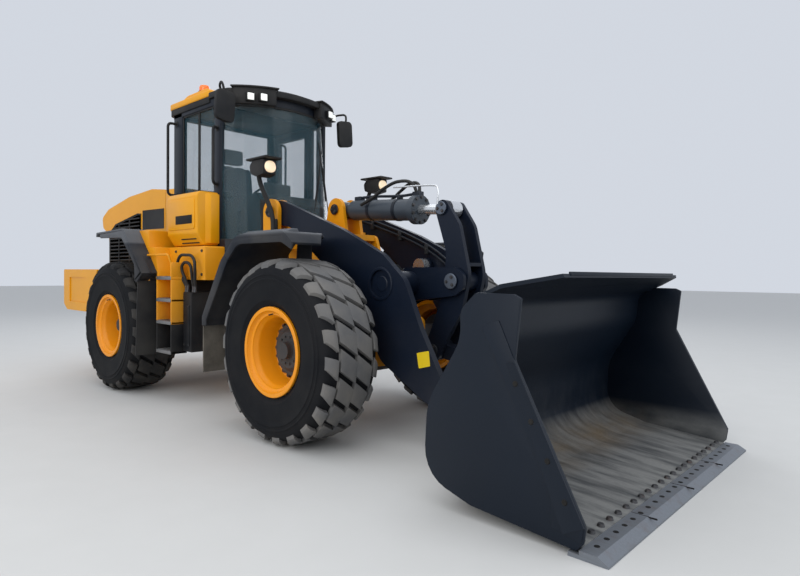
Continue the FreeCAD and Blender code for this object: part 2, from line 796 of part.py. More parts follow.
# Yellow box under the right window, angled towards the front pillar
boxPlan = [
    (d.boxRearX, -d.cabHalf - 0.3),
    (d.boxRearX, -d.boxHalf + 110),
    (d.boxRearX + 160, -d.boxHalf, 30),
    (d.boxFrontX - 330, -d.boxHalf, 60),
    (d.boxFrontX, -d.cabHalf - 60, 40),
    (d.boxFrontX, -d.cabHalf - 0.3),
]
sideBox = slab(boxPlan, d.boxLowZ, d.sideSillZ - 10, "XY", "side_box")
node(sideBox, "side_box")

# Side platforms beside the cab, on both sides
deckPlan = [
    (d.deckRearX, standOut + 0.3),
    (d.deckRearX, d.deckOut),
    (d.ladderFrontX, d.deckOut),
    (d.ladderFrontX + 90, standOut + 0.3),
]
deck = slab(deckPlan, d.deckZ - d.deckThick, d.deckZ, "XY", "deck")
skirt = box(d.deckRearX, d.ladderFrontX - 20, standOut + 0.3, d.deckOut - 190,
            d.hoseBoxTopZ + 0.3, d.deckZ - d.deckThick, "skirt")
node(both(fused([deck, skirt]), "platforms"), "side_platforms")

# Ladders: stringers and treads hung from the platforms, a step box below
stringers = [box(x, x + d.stringerThick, d.deckOut - d.ladderDepth, d.deckOut, d.ladderLowZ, d.deckZ - d.deckThick - 0.3, "stringer")
             for x in (d.ladderRearX, d.ladderFrontX - d.stringerThick)]
backPlate = box(d.ladderRearX, d.ladderFrontX, d.deckOut - d.ladderDepth - 12, d.deckOut - d.ladderDepth,
                d.ladderLowZ, d.deckZ - d.deckThick - 0.3, "back")
treads = [box(d.ladderRearX, d.ladderFrontX, d.deckOut - d.ladderDepth, d.deckOut, z, z + d.treadThick, "tread")
          for z in (d.ladderLowZ, d.stepBoxTopZ, d.stepBoxTopZ + 300)]
node(both(fused(stringers + [backPlate] + treads), "ladders"), "ladders")

# Boxes inboard of the ladders, tank on the left, hose box on the right
frontBox = box(d.ladderFrontX + 0.3, d.hoseBoxFrontX, d.railIn + d.railThick + 60, d.hoseBoxHalf,
               d.ladderLowZ, d.hoseBoxTopZ, "step_box")
backBox = box(d.ladderRearX - 100, d.ladderFrontX + 0.3, standOut + 0.3,
              d.deckOut - d.ladderDepth - 12.3, d.ladderLowZ + 60, d.hoseBoxTopZ, "step_box")
node(both(fused([frontBox, backBox]), "step_boxes"), "step_boxes")

# Two arched hoses over the right box
hoseShapes = []
hoseLow = float(d.hoseBoxTopZ) + 0.3
hoseTop = float(d.hoseArchZ) - 110
for x0, width, y, top in ((-771, 112, 930, hoseTop), (-757, 90, 860, hoseTop - 50)):
    bend = width / 2 - 3
    hoseShapes.append(tube([(x0, -y, hoseLow), (x0, -y, top, bend), (x0 + width, -y, top, bend),
                            (x0 + width, -y, hoseLow)], d.hoseRadius))
hoses = shaped(Part.makeCompound(hoseShapes), "hoses")
node(hoses, "hoses")


# Rear fenders: a bent band over the tyre, a cheeked wedge ahead of it, a bracket to the frame
wall = d.fenderWall
rearTop = d.rearFenderTopZ
bandOut = [
    (d.rearFenderFrontX, d.rearFenderFrontZ),
    (d.rearFenderBendX, rearTop, 120),
    (rearAxleX - 830, rearTop, 220),
    (rearAxleX - 1045, d.counterTopZ + 190, 160),
    (rearAxleX - 1045, d.counterTopZ + 30),
]
bandIn = [
    (rearAxleX - 1045 + wall, d.counterTopZ + 30),
    (rearAxleX - 1045 + wall, d.counterTopZ + 180, 140),
    (rearAxleX - 830 + wall, rearTop - wall, 200),
    (d.rearFenderBendX - 14, rearTop - wall, 100),
    (d.rearFenderFrontX - 36, d.rearFenderFrontZ),
]
band = slab(bandOut + bandIn, d.fenderSeatY, d.fenderOut, "XZ", "rear_fender")
cheek = slab([
    (d.rearFenderFrontX, d.rearFenderFrontZ),
    (d.rearFenderBendX - 20, rearTop - 40),
    (rearAxleX + 520, rearTop - 160),
    (rearAxleX + 780, d.rearFenderFrontZ + 90, 120),
    (rearAxleX + 790, d.rearFenderFrontZ - 100, 20),
], d.fenderOut - wall, d.fenderOut, "XZ", "cheek")
under = slab([
    (d.rearFenderFrontX, d.rearFenderFrontZ),
    (d.rearFenderFrontX - 40, d.rearFenderFrontZ + 20),
    (rearAxleX + 790, d.rearFenderFrontZ - 74),
    (rearAxleX + 790, d.rearFenderFrontZ - 100),
], d.deckOut + 6, d.fenderOut, "XZ", "under")
bracket = slab([
    (d.railIn + d.railThick + 0.3, d.railTopZ - 60),
    (d.railIn + d.railThick + 0.3, d.railTopZ - 34),
    (d.hoodHalf + 30, d.railTopZ - 34),
    (d.hoodHalf + 30, rearTop),
    (d.fenderSeatY + 20, rearTop),
    (d.fenderSeatY + 20, rearTop - wall),
    (d.hoodHalf + 52, rearTop - wall),
    (d.hoodHalf + 52, d.railTopZ - 60),
], rearAxleX - 160, rearAxleX + 160, "YZ", "bracket")
boxNotch = box(d.boxRearX - 12, 0, 0, d.boxHalf + 12, d.boxLowZ - 12, d.sideSillZ, "notch")
rearFender = cut(fused([band, cheek, under, bracket]), [boxNotch])
node(both(rearFender, "rear_fenders"), "rear_fenders")

# Front fenders: bent bands on a plate arm from the frame, with a vertical end for the flap
legX = d.flapX + d.flapThick + 0.3
frontX = d.frontAxleX
frontFender = slab([
    (legX, d.flapTopZ - 60), (legX, d.flapTopZ + 20, 40), (frontX - 760, 1560, 260), (frontX - 520, 1790, 220),
    (frontX + 200, 1800, 300), (frontX + 700, 1640), (frontX + 690, 1610), (frontX + 190, 1800 - wall, 280),
    (frontX - 510, 1790 - wall, 200), (frontX - 735, 1550, 240), (legX + wall, d.flapTopZ + 10, 30),
    (legX + wall, d.flapTopZ - 60),
], d.boomOut + d.earGap + d.earThick + 22, d.fenderOut, "XZ", "front_fender")
armPlan = [
    (100, d.plateIn + d.plateThick + 0.3), (160, d.plateIn + d.plateThick + 0.3), (160, 655),
    (270, 700), (270, 1000), (100, 1000),
]
fenderArm = slab(armPlan, 1185, 1210, "XY", "fender_arm")
node(both(fused([frontFender, fenderArm]), "front_fenders"), "front_fenders")
flap = box(d.flapX, d.flapX + d.flapThick, d.fenderIn, d.fenderOut - 20, d.flapLowZ, d.flapTopZ, "flap")
node(both(flap, "flaps"), "mud_flaps")

# Front frame: plates, tower with ears for the boom and the tilt cylinder, cylinder feet
earOuterIn = d.boomOut + d.earGap
earOuterOut = earOuterIn + d.earThick
earInnerOut = d.boomOut - d.boomThick - d.earGap
earInnerIn = earInnerOut - d.earThick
platePoints = [
    (pivotX + 360, d.lowerHingeZ - 30),
    (pivotX + 360, d.upperHingeZ + 30),
    (68, 1500, 120),
    (88, d.towerTopZ),
    (880, d.towerTopZ, 60),
    (1100, 1250, 200),
    (d.plateFrontX, 1000, 60),
    (d.plateFrontX, d.plateLowZ + 40, 60),
    (1000, d.plateLowZ - 40, 200),
    (300, d.plateLowZ - 40, 200),
]
plate = slab(platePoints, d.plateIn, d.plateIn + d.plateThick, "XZ", "plate")
plateCut = rod("Y", d.plateIn - 5, d.frontAxleX, 0, axleZ, d.plateIn + d.plateThick + 5, d.axleTubeRadius + 0.3)
steerNotch = box(pivotX + 300, d.steerFrontX + 112, d.plateIn - 20, d.plateIn + d.plateThick + 20,
                 d.steerZ - d.steerEyeHigh / 2 - 4, d.steerZ + d.steerEyeHigh / 2 + 4, "notch")
plates = both(cut(plate, [plateCut, steerNotch]))
towerBox = box(88, d.towerFrontX, -earInnerIn - d.earThick, earInnerIn + d.earThick, d.towerTopZ - 160, d.towerTopZ, "tower")
towerFront = box(d.towerFrontX, 880, -d.plateIn, d.plateIn, d.towerTopZ - 60, d.towerTopZ, "tower")
towerWing = box(88, d.towerFrontX, earInnerIn, earOuterOut, d.towerTopZ - 160, d.towerTopZ - 60, "wing")


def ear(x, z, radius, foot, low, y0, y1):
    """Ear plate: a round head on a straight shank that stands on its foot"""
    head = rod("Y", y0, x, 0, z, y1, radius, "ear")
    shank = slab([(x - foot, low), (x - radius, z), (x + radius, z), (x + foot, low)], y0, y1, "XZ", "ear")
    return fused([head, shank])


innerEar = ear(d.boomPinX, d.boomPinZ, d.earRadius, d.earRadius - 5, d.towerTopZ - 100, earInnerIn, earInnerOut)
outerEar = ear(d.boomPinX, d.boomPinZ, d.earRadius, d.earRadius - 5, d.towerTopZ - 100, earOuterIn, earOuterOut)
boomPin = rod("Y", earInnerIn - 10, d.boomPinX, 0, d.boomPinZ, earOuterOut + 14, d.boomPinRadius)
tiltEar = ear(d.tiltPinX, d.tiltPinZ, d.tiltEarRadius, d.tiltEarRadius + 60, d.towerTopZ - 40,
              d.tiltEarIn, d.tiltEarIn + d.tiltEarThick)
tiltPin = rod("Y", -d.tiltEarIn - d.tiltEarThick - 12, d.tiltPinX, 0, d.tiltPinZ,
              d.tiltEarIn + d.tiltEarThick + 12, d.boomPinRadius)
liftFootOut = d.liftMid + d.liftEyeWide / 2 + 6
liftFoot = ear(d.liftBaseX, d.liftBaseZ, d.liftEyeRadius, d.liftEyeRadius + 70, d.liftBaseZ - 200, liftFootOut, liftFootOut + 30)
liftShelf = box(d.liftBaseX - 150, d.liftBaseX + 150, d.plateIn, liftFootOut + 30, d.liftBaseZ - 230, d.liftBaseZ - 200, "shelf")
liftBasePin = rod("Y", d.plateIn, d.liftBaseX, 0, d.liftBaseZ, liftFootOut + 44, d.liftPinRadius)
frontSteerLugs = []
for z in (d.steerZ - d.steerEyeHigh / 2 - 34, d.steerZ + d.steerEyeHigh / 2 + 4):
    frontSteerLugs.append(box(d.steerFrontX - 70, d.steerFrontX + 80, d.plateIn - 60, d.steerFrontY + 62, z, z + 30, "lug"))
crossFront = box(d.plateFrontX - 40, d.plateFrontX - 5, -d.plateIn, d.plateIn, d.plateLowZ + 60, 900, "cross")
crossLow = box(200, 900, -d.plateIn, d.plateIn, d.plateLowZ - 40, d.plateLowZ - 10, "cross")
frontChassis = fused([plates, towerBox, towerFront, both(towerWing), both(innerEar), both(outerEar), both(boomPin),
                      both(tiltEar), tiltPin, both(liftFoot), both(liftShelf), both(liftBasePin), crossFront, crossLow]
                     + tongues + [both(lug) for lug in frontSteerLugs], "front_chassis")
node(frontChassis, "front_chassis")

# Boom: two bent plate arms, cross tube, lever brackets, bosses
boomIn = d.boomOut - d.boomThick
boomPoints = [
    (d.boomPinX - 40, d.boomPinZ + 118),
    (350, 2192, 200),
    (1262, 1862, 400),
    (1790, 1622, 240),
    (2044, 1403, 260),
    (2222, 1010, 300),
    (2476, 568, 240),
    (d.tipPinX - 20, d.tipPinZ + d.tipBossRadius - 4),
    (d.tipPinX - 20, d.tipPinZ - d.tipBossRadius + 4),
    (2266, 425, 200),
    (1780, 698, 200),
    (1440, 1220, 260),
    (d.boomPinX + 260, d.boomPinZ - 165, 120),
    (d.boomPinX - 40, d.boomPinZ - 118),
]
boomArm = slab(boomPoints, boomIn, d.boomOut, "XZ", "boom_arm")
rearBoss = rod("Y", boomIn, d.boomPinX, 0, d.boomPinZ, d.boomOut, d.earRadius - 6)
tipBoss = rod("Y", boomIn, d.tipPinX, 0, d.tipPinZ, d.boomOut, d.tipBossRadius)
boomBore = rod("Y", boomIn - 20, d.boomPinX, 0, d.boomPinZ, d.boomOut + 20, d.boomPinRadius + d.runningGap)
tipBore = rod("Y", boomIn - 20, d.tipPinX, 0, d.tipPinZ, d.boomOut + 20, d.leverPinRadius + d.runningGap)
dish = rod("Y", d.boomOut - 18, d.crossTubeX, 0, d.crossTubeZ, d.boomOut + 20, d.bossRadius - 18)
crossBoss = rod("Y", boomIn - 20, d.crossTubeX, 0, d.crossTubeZ, d.boomOut, d.bossRadius)
arm = cut(fused([boomArm, rearBoss, tipBoss, crossBoss]), [boomBore, tipBore, dish])
crossTube = rod("Y", -boomIn, d.crossTubeX, 0, d.crossTubeZ, boomIn, d.crossTubeRadius)
bracketOut = d.bracketIn + d.bracketThick
bracketPlate = slab([
    (d.crossTubeX - 120, d.crossTubeZ + 60), (d.crossTubeX - 60, d.crossTubeZ + 150, 60),
    (d.leverPinX + 40, d.leverPinZ + 118, 40), (d.leverPinX + 125, d.leverPinZ + 60, 60),
    (d.leverPinX + 125, d.leverPinZ - 60, 60), (d.leverPinX + 40, d.leverPinZ - 122, 40),
    (d.crossTubeX - 60, d.crossTubeZ - 170, 60), (d.crossTubeX - 120, d.crossTubeZ - 60),
], d.bracketIn, bracketOut, "XZ", "bracket")
bracketBore = rod("Y", d.bracketIn - 20, d.leverPinX, 0, d.leverPinZ, bracketOut + 20, d.leverPinRadius + d.runningGap)
liftRodLug = rod("Y", d.liftMid + d.liftEyeWide / 2 + 6, d.liftPinX, 0, d.liftPinZ, boomIn, d.liftEyeRadius)
node(fused([both(arm), crossTube, both(cut(bracketPlate, [bracketBore])), both(liftRodLug)], "boom"), "boom")

# Pins that the levelling motion turns: at the boom's tip and through the lever
tipPin = rod("Y", boomIn - 70, d.tipPinX, 0, d.tipPinZ, d.boomOut + 14, d.leverPinRadius)
node(both(tipPin, "bucket_pins"), "bucket_pins")
node(rod("Y", -bracketOut - 14, d.leverPinX, 0, d.leverPinZ, bracketOut + 14, d.leverPinRadius, "lever_pin"), "lever_pin")

# Lever: two curved plates joined by a tube round the pin
leverOut = d.leverIn + d.leverThick
leverPoints = [
    (d.leverTopX - 74, d.leverTopZ - 20),
    (d.leverTopX - 60, d.leverTopZ + 60, 60),
    (d.leverTopX + 30, d.leverTopZ + 82, 60),
    (d.leverTopX + 190, d.leverTopZ - 150, 200),
    (d.leverPinX + 142, d.leverPinZ + 60, 260),
    (d.leverPinX + 70, d.leverPinZ - 260, 300),
    (d.leverLowX + 88, d.leverLowZ - 10),
    (d.leverLowX - 84, d.leverLowZ + 40),
    (d.leverPinX - 150, d.leverPinZ - 150, 200),
    (d.leverPinX - 118, d.leverPinZ + 20, 160),
    (d.leverPinX - 105, d.leverPinZ + 260, 300),
]
leverPlate = slab(leverPoints, d.leverIn, leverOut, "XZ", "lever_plate")
leverFoot = rod("Y", d.leverIn, d.leverLowX, 0, d.leverLowZ, leverOut, d.linkEyeRadius)
leverTube = rod("Y", -leverOut, d.leverPinX, 0, d.leverPinZ, leverOut, d.leverPinRadius + 42)
leverBore = rod("Y", -leverOut - 20, d.leverPinX, 0, d.leverPinZ, leverOut + 20, d.leverPinRadius + d.runningGap)
web = box(d.leverPinX - 150, d.leverPinX + 120, -d.leverIn, d.leverIn, d.leverPinZ + 130, d.leverPinZ + 160, "web")
leverSolid = cut(fused([both(fused([leverPlate, leverFoot])), leverTube, web]), [leverBore])
topCap = rod("Y", leverOut, d.leverTopX, 0, d.leverTopZ, leverOut + 14, d.leverPinHead)
node(fused([leverSolid, both(topCap)], "lever"), "lever")

# Link: flat bar with an eye at each end, on a pin in the lever's foot
linkTopBoss = rod("Y", -d.linkHalf, d.linkTopX, 0, d.linkTopZ, d.linkHalf, d.linkEyeRadius)
linkFootBoss = rod("Y", -d.linkHalf, d.leverLowX, 0, d.leverLowZ, d.linkHalf, d.linkEyeRadius)
linkBar = slab([(d.leverLowX, d.leverLowZ - 62), (d.leverLowX, d.leverLowZ + 62),
                (d.linkTopX, d.linkTopZ + 62), (d.linkTopX, d.linkTopZ - 62)], -d.linkHalf, d.linkHalf, "XZ", "link")
linkBore = rod("Y", -d.linkHalf - 10, d.linkTopX, 0, d.linkTopZ, d.linkHalf + 10, d.leverPinRadius + d.runningGap)
linkEye = rod("Y", -d.linkHalf - 10, d.leverLowX, 0, d.leverLowZ, d.linkHalf + 10, d.leverPinRadius)
node(cut(fused([linkTopBoss, linkFootBoss, linkBar]), [linkBore, linkEye], "link"), "link")
linkPinEnd = d.linkHalf + d.bucketEarGap + d.bucketEarThick + 12
node(rod("Y", -linkPinEnd, d.linkTopX, 0, d.linkTopZ, linkPinEnd, d.leverPinRadius, "link_pin"), "link_pin")


def rounded(points):
    """Open wire of straight runs and tangent arcs in the XZ plane; points are (x, z, radius)"""
    spots = [Vector(float(p[0]), 0, float(p[1])) for p in points]
    edges = []
    start = spots[0]
    for i in range(1, len(spots) - 1):
        radius = float(points[i][2])
        here = spots[i]
        back = (spots[i - 1] - here).normalize()
        ahead = (spots[i + 1] - here).normalize()
        half = back.getAngle(ahead) / 2
        enter = here + back * (radius / math.tan(half))
        leave = here + ahead * (radius / math.tan(half))
        middle = (back + ahead).normalize()
        peak = here + middle * (radius / math.sin(half) - radius)
        edges.append(Part.makeLine(start, enter))
        edges.append(Part.Arc(enter, peak, leave).toShape())
        start = leave
    edges.append(Part.makeLine(start, spots[-1]))
    return Part.Wire(edges)


def sheetStrip(points, thick, y0, y1):
    """Bent sheet: a rounded outer line, its parallel inside, closed and extruded across"""
    outer = rounded(points)
    inner = outer.makeOffset2D(-float(thick), 2, False, True)
    ends = [outer.OrderedVertexes[0].Point, outer.OrderedVertexes[-1].Point]
    inside = [inner.OrderedVertexes[0].Point, inner.OrderedVertexes[-1].Point]
    if (ends[0] - inside[0]).Length > (ends[0] - inside[1]).Length:
        inside.reverse()
    closing = [Part.makeLine(ends[0], inside[0]), Part.makeLine(ends[1], inside[1])]
    loop = Part.Wire(Part.__sortEdges__(outer.Edges + closing + inner.Edges))
    face = Part.Face(loop)
    solid = face.extrude(Vector(0, float(y1) - float(y0), 0))
    solid.translate(Vector(0, float(y0), 0))
    return solid


# Bucket: bent back sheet, side plates, top guard, ears on the back
backLine = [
    (d.edgeRearX + 60, 26, 0),
    (3330, 86, 200),
    (2950, 190, 330),
    (2962, 640, 420),
    (3225, 1060, 300),
    (3235, 1290, 130),
    (d.guardTopX - 214, 1400, 200),
    (d.guardTopX, d.guardTopZ, 0),
]
half = d.bucketHalf - d.bucketWall
backSheet = sheetStrip(backLine, float(d.bucketWall), -float(half), float(half))
guardCutPoints = [
    (3500, float(d.bucketHalf) + 10), (float(d.guardTopX) + 60, float(d.bucketHalf) + 10),
    (float(d.guardTopX) + 60, float(d.guardHalf)), (3500, float(d.bucketHalf) - 60),
]
wedge = Part.Face(Part.makePolygon([Vector(x, y, 1200) for x, y in guardCutPoints + guardCutPoints[:1]]))
wedge = wedge.extrude(Vector(0, 0, 400))
mirror = wedge.mirror(Vector(), Vector(0, 1, 0))
backObject = shaped(backSheet.cut(wedge).cut(mirror), "bucket_back")
sidePoints = [
    (3632, 1324, 10),
    (3586, 1345, 10),
    (3330, d.sideTopZ, 60),
    (3214, 1240, 100),
    (3222, 1064, 300),
    (2962, 640, 400),
    (2942, 190, 330),
    (3302, 84, 200),
    (d.edgeRearX + 40, 30),
    (4012, 73, 10),
    (4025, 162, 60),
    (3596, 975, 60),
]
sidePlate = slab(sidePoints, half, d.bucketHalf, "XZ", "bucket_side")
bucketEars = []
earPairs = ((d.linkHalf + d.bucketEarGap, d.linkHalf + d.bucketEarGap + d.bucketEarThick),
            (boomIn - d.bucketEarGap - d.bucketEarThick, boomIn - d.bucketEarGap),
            (d.boomOut + d.bucketEarGap, d.boomOut + d.bucketEarGap + d.bucketEarThick))
for index, (y0, y1) in enumerate(earPairs):
    if index == 0:
        head = rod("Y", y0, d.linkTopX, 0, d.linkTopZ, y1, d.linkEyeRadius + 6)
        root = slab([(d.linkTopX, d.linkTopZ + 90), (3130, 860), (2985, 560), (d.linkTopX, d.linkTopZ - 90)], y0, y1, "XZ", "ear")
        bore = rod("Y", y0 - 10, d.linkTopX, 0, d.linkTopZ, y1 + 10, d.leverPinRadius + d.runningGap)
        bucketEars.append(both(cut(fused([head, root]), [bore])))
    else:
        head = rod("Y", y0, d.tipPinX, 0, d.tipPinZ, y1, d.tipBossRadius - 8)
        root = slab([(d.tipPinX, d.tipPinZ + 112), (3000, 640), (3060, 210), (d.tipPinX, d.tipPinZ - 112)], y0, y1, "XZ", "ear")
        bore = rod("Y", y0 - 10, d.tipPinX, 0, d.tipPinZ, y1 + 10, d.leverPinRadius + d.runningGap)
        bucketEars.append(both(cut(fused([head, root]), [bore])))
node(fused([backObject, both(sidePlate)] + bucketEars, "bucket"), "bucket")

# Bolt-on edge with its bevel
edgePoints = [
    (d.edgeRearX, 0),
    (d.edgeRearX, 24),
    (d.edgeRearX + 62, 24),
    (d.edgeRearX + 62, d.edgeHigh),
    (d.bucketTipX - 60, d.edgeHigh),
    (d.bucketTipX, 12),
    (d.bucketTipX, 0),
]
node(slab(edgePoints, -d.bucketHalf - 12, d.bucketHalf + 12, "XZ", "edge"), "cutting_edge")


def eye(x, y0, y1, z, radius, bore):
    ringSolid = rod("Y", y0, x, 0, z, y1, radius, "eye")
    return ringSolid, rod("Y", y0 - 10, x, 0, z, y1 + 10, bore, "eye_bore")


def lengthBetween(a, b):
    return math.hypot(float(b[0]) - float(a[0]), float(b[1]) - float(a[1]))


# Lift cylinders: barrel on the front frame, rod to the boom
liftA = (d.liftBaseX, d.liftBaseZ)
liftB = (d.liftPinX, d.liftPinZ)
liftSpan = lengthBetween(liftA, liftB)
for side, name in ((1, "left"), (-1, "right")):
    mid = d.liftMid * side
    y0 = mid - d.liftEyeWide / 2
    y1 = mid + d.liftEyeWide / 2
    ringSolid, bore = eye(d.liftBaseX, y0, y1, d.liftBaseZ, d.liftEyeRadius, d.liftPinRadius + d.runningGap)
    neck = strut(liftA, liftB, 40, d.liftEyeRadius + 60, d.liftEyeWide / 2 - 3, mid)
    tubeSolid = strut(liftA, liftB, d.liftEyeRadius + 50, liftSpan - 190, d.liftBarrelRadius, mid)
    hollow = strut(liftA, liftB, 160, liftSpan - 180, d.liftRodRadius + d.runningGap, mid)
    node(cut(fused([ringSolid, neck, tubeSolid]), [bore, hollow]), f"lift_barrel_{name}")
    head, headBore = eye(d.liftPinX, y0, y1, d.liftPinZ, d.liftEyeRadius - 8, d.liftPinRadius + d.runningGap)
    bar = strut(liftA, liftB, 240, liftSpan - d.liftEyeRadius + 20, d.liftRodRadius, mid)
    node(fused([head, bar]), f"lift_rod_{name}")

# Tilt cylinder: barrel between the tower's ears, rod towards the lever's top
tiltA = (d.tiltPinX, d.tiltPinZ)
tiltB = (d.leverTopX, d.leverTopZ)
tiltSpan = lengthBetween(tiltA, tiltB)
ringSolid, bore = eye(d.tiltPinX, -d.tiltEyeHalf, d.tiltEyeHalf, d.tiltPinZ, d.tiltEyeRadius, d.boomPinRadius + d.runningGap)
neck = strut(tiltA, tiltB, 60, d.tiltEyeRadius + 95, d.tiltEyeHalf - 4, 0)
tubeSolid = strut(tiltA, tiltB, d.tiltEyeRadius + 85, d.tiltBarrelEnd, d.tiltBarrelRadius, 0)
gland = strut(tiltA, tiltB, d.tiltBarrelEnd - 70, d.tiltBarrelEnd, d.tiltGlandRadius, 0)
hollow = strut(tiltA, tiltB, d.tiltEyeRadius + 160, d.tiltBarrelEnd + 10, d.tiltRodRadius + d.runningGap, 0)
node(cut(fused([ringSolid, neck, tubeSolid, gland]), [bore, hollow]), "tilt_barrel")
head = rod("Y", -d.tiltEyeHalf, d.leverTopX, 0, d.leverTopZ, d.tiltEyeHalf, d.tiltEyeRadius - 14)
bar = strut(tiltA, tiltB, 420, tiltSpan - d.tiltEyeRadius + 30, d.tiltRodRadius, 0)
node(fused([head, bar]), "tilt_rod")

# Steering cylinders: upright pins, barrel on the rear frame, rod to the front frame
steerSpan = math.hypot(float(d.steerFrontX) - float(d.steerRearX), float(d.steerRearY) - float(d.steerFrontY))
for side, name in ((1, "left"), (-1, "right")):
    start = Vector(float(d.steerRearX), side * float(d.steerRearY), float(d.steerZ))
    end = Vector(float(d.steerFrontX), side * float(d.steerFrontY), float(d.steerZ))
    along = (end - start).normalize()
    turn = Rotation(Vector(0, 0, 1), along)

    def bar(low, high, radius):
        obj = doc.addObject("Part::Cylinder", fresh("steer"))
        obj.setExpression("Radius", size(radius).text)
        obj.setExpression("Height", (size(high) - low).text)
        obj.Placement = FreeCAD.Placement(start + along * float(low), turn)
        return obj

    low = d.steerZ - d.steerEyeHigh / 2
    high = d.steerZ + d.steerEyeHigh / 2
    rearEye = rod("Z", low, d.steerRearX, d.steerRearY * side, 0, high, d.steerEyeRadius)
    frontEye = rod("Z", low, d.steerFrontX, d.steerFrontY * side, 0, high, d.steerEyeRadius - 4)
    barrel = cut(fused([rearEye, bar(20, 90, d.steerRodRadius), bar(80, d.steerBarrelEnd, d.steerBarrelRadius)]),
                 [bar(120, d.steerBarrelEnd + 20, d.steerRodRadius + d.runningGap)])
    node(barrel, f"steer_barrel_{name}")
    node(fused([frontEye, bar(d.steerRodStart, steerSpan - 30, d.steerRodRadius)]), f"steer_rod_{name}")

# Handrails, mirrors, lamps
railX = float(d.cabRearX) + 140
railShapes = []
for side in (-1, 1):
    y0 = side * (float(d.cabHalf) + 0.3)
    y1 = side * (float(d.cabHalf) + 110)
    railShapes.append(tube([(railX, y0, 2360), (railX, y1, 2360, 45), (railX, y1, 3260, 45), (railX, y0, 3260)], d.railTube))
frontRail = float(d.pillarFrontX) - 60
railFoot = -float(d.cabHalf) - 0.3
railShapes.append(tube([(frontRail, railFoot, 2400), (frontRail, railFoot - 90, 2400, 45),
                        (frontRail, railFoot - 90, 3060, 45), (frontRail, railFoot, 3060)], d.railTube))
node(shaped(Part.makeCompound(railShapes), "handrails"), "handrails")

mirrorShapes = []
for side in (-1, 1):
    out = side * (float(d.mirrorHalf) - 130)
    armShape = tube([(-600, side * (float(d.cabHalf) + 20.3), 3430), (-600, side * (float(d.cabHalf) + 110), 3430, 60),
                     (-250, out, 3430, 60), (-250, out, 3250)], 14)
    head = Part.makeBox(60, 250, 360, Vector(-290, out - 125, 2900))
    head = head.makeFillet(24, head.Edges)
    mirrorShapes.append(armShape.fuse(head))
node(shaped(Part.makeCompound(mirrorShapes), "mirrors"), "mirrors")

beaconBase = rod("Z", d.roofTopZ + 0.3, d.beaconX, d.beaconY, 0, d.roofTopZ + 20, d.beaconRadius + 14)
beaconTop = rod("Z", d.roofTopZ + 20, d.beaconX, d.beaconY, 0, d.roofTopZ + 20 + d.beaconHigh, d.beaconRadius)
node(fused([beaconBase, beaconTop], "beacon"), "beacon")

lamps = []
for angle in (d.lampAngle - 6, d.lampAngle + 6):
    lamp = doc.addObject("Part::Box", fresh("lamp"))
    lamp.setExpression("Length", d.lampDepth.text)
    lamp.setExpression("Width", d.lampSide.text)
    lamp.setExpression("Height", d.lampSide.text)
    lamp.Placement = FreeCAD.Placement(Vector(), Rotation(Vector(0, 0, 1), float(angle)))
    away = math.cos(math.radians(float(angle)))
    across = math.sin(math.radians(float(angle)))
    reachOut = d.cabNoseHigh + 12
    place(lamp, d.cabCentreX + reachOut * away + d.lampSide * across / 2,
          reachOut * across - d.lampSide * away / 2, eaveZ - 0.3 - d.lampSide)
    lamps.append(lamp)
node(both(fused(lamps), "work_lamps"), "work_lamps")

tailLamp = box(d.counterRearX - 22.3, d.counterRearX - 0.3, d.counterHalf - 330, d.counterHalf - 60, d.counterTopZ - 200, d.counterTopZ - 110, "tail")
node(both(tailLamp, "tail_lamps"), "tail_lamps")

headShapes = []
earFace = float(earOuterOut) + 0.3
for side in (-1, 1):
    y0 = side * (earFace + 26)
    foot = Part.makeBox(90, 24, 120, Vector(270, min(side * earFace, side * (earFace + 24)), 1880))
    post = tube([(320, y0, 1890), (320, y0, 2180, 60), (400, side * 720, 2310, 60), (440, side * 760, 2420)], 24)
    head = Part.makeCone(60, 104, 150, Vector(385, side * float(d.headLampY), float(d.headLampZ) + 40), Vector(1, 0, 0))
    headShapes.append(foot.fuse([post, head]))
node(shaped(Part.makeCompound(headShapes), "head_lamps"), "head_lamps")

doc.recompute()

failed = [f"{obj.Name} {obj.State}" for obj in doc.Objects if "Invalid" in obj.State or "Error" in obj.State]
if failed:
    raise RuntimeError("failed: " + ", ".join(failed))
facets = 0
for name, obj in nodes.items():
    shape = obj.Shape
    if shape.isNull() or not shape.isValid():
        raise RuntimeError(f"{name} has no valid shape")
    if not shape.Solids:
        raise RuntimeError(f"{name} has no solid")
    shape.exportStep(f"parts/{name}.step")
    print(name, len(shape.Solids), "solids", len(shape.Faces), "faces", round(shape.Volume / 1e9, 4), "m3")
print(len(nodes), "nodes")
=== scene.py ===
import math
import bpy
import bmesh
from mathutils import Matrix, Vector


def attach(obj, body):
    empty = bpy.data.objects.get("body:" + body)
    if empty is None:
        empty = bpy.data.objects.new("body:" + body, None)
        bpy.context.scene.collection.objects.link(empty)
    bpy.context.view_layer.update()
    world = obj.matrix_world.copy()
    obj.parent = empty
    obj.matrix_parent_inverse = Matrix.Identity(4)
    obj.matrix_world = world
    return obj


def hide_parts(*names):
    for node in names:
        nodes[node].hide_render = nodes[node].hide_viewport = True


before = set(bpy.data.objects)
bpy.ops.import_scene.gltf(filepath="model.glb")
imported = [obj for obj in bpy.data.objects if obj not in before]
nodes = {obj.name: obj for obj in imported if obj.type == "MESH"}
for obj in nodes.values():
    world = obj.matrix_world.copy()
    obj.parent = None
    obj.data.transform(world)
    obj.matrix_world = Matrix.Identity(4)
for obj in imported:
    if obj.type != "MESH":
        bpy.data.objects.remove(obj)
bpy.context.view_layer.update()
print("frame loaded:", len(nodes), "nodes")


# shader maths

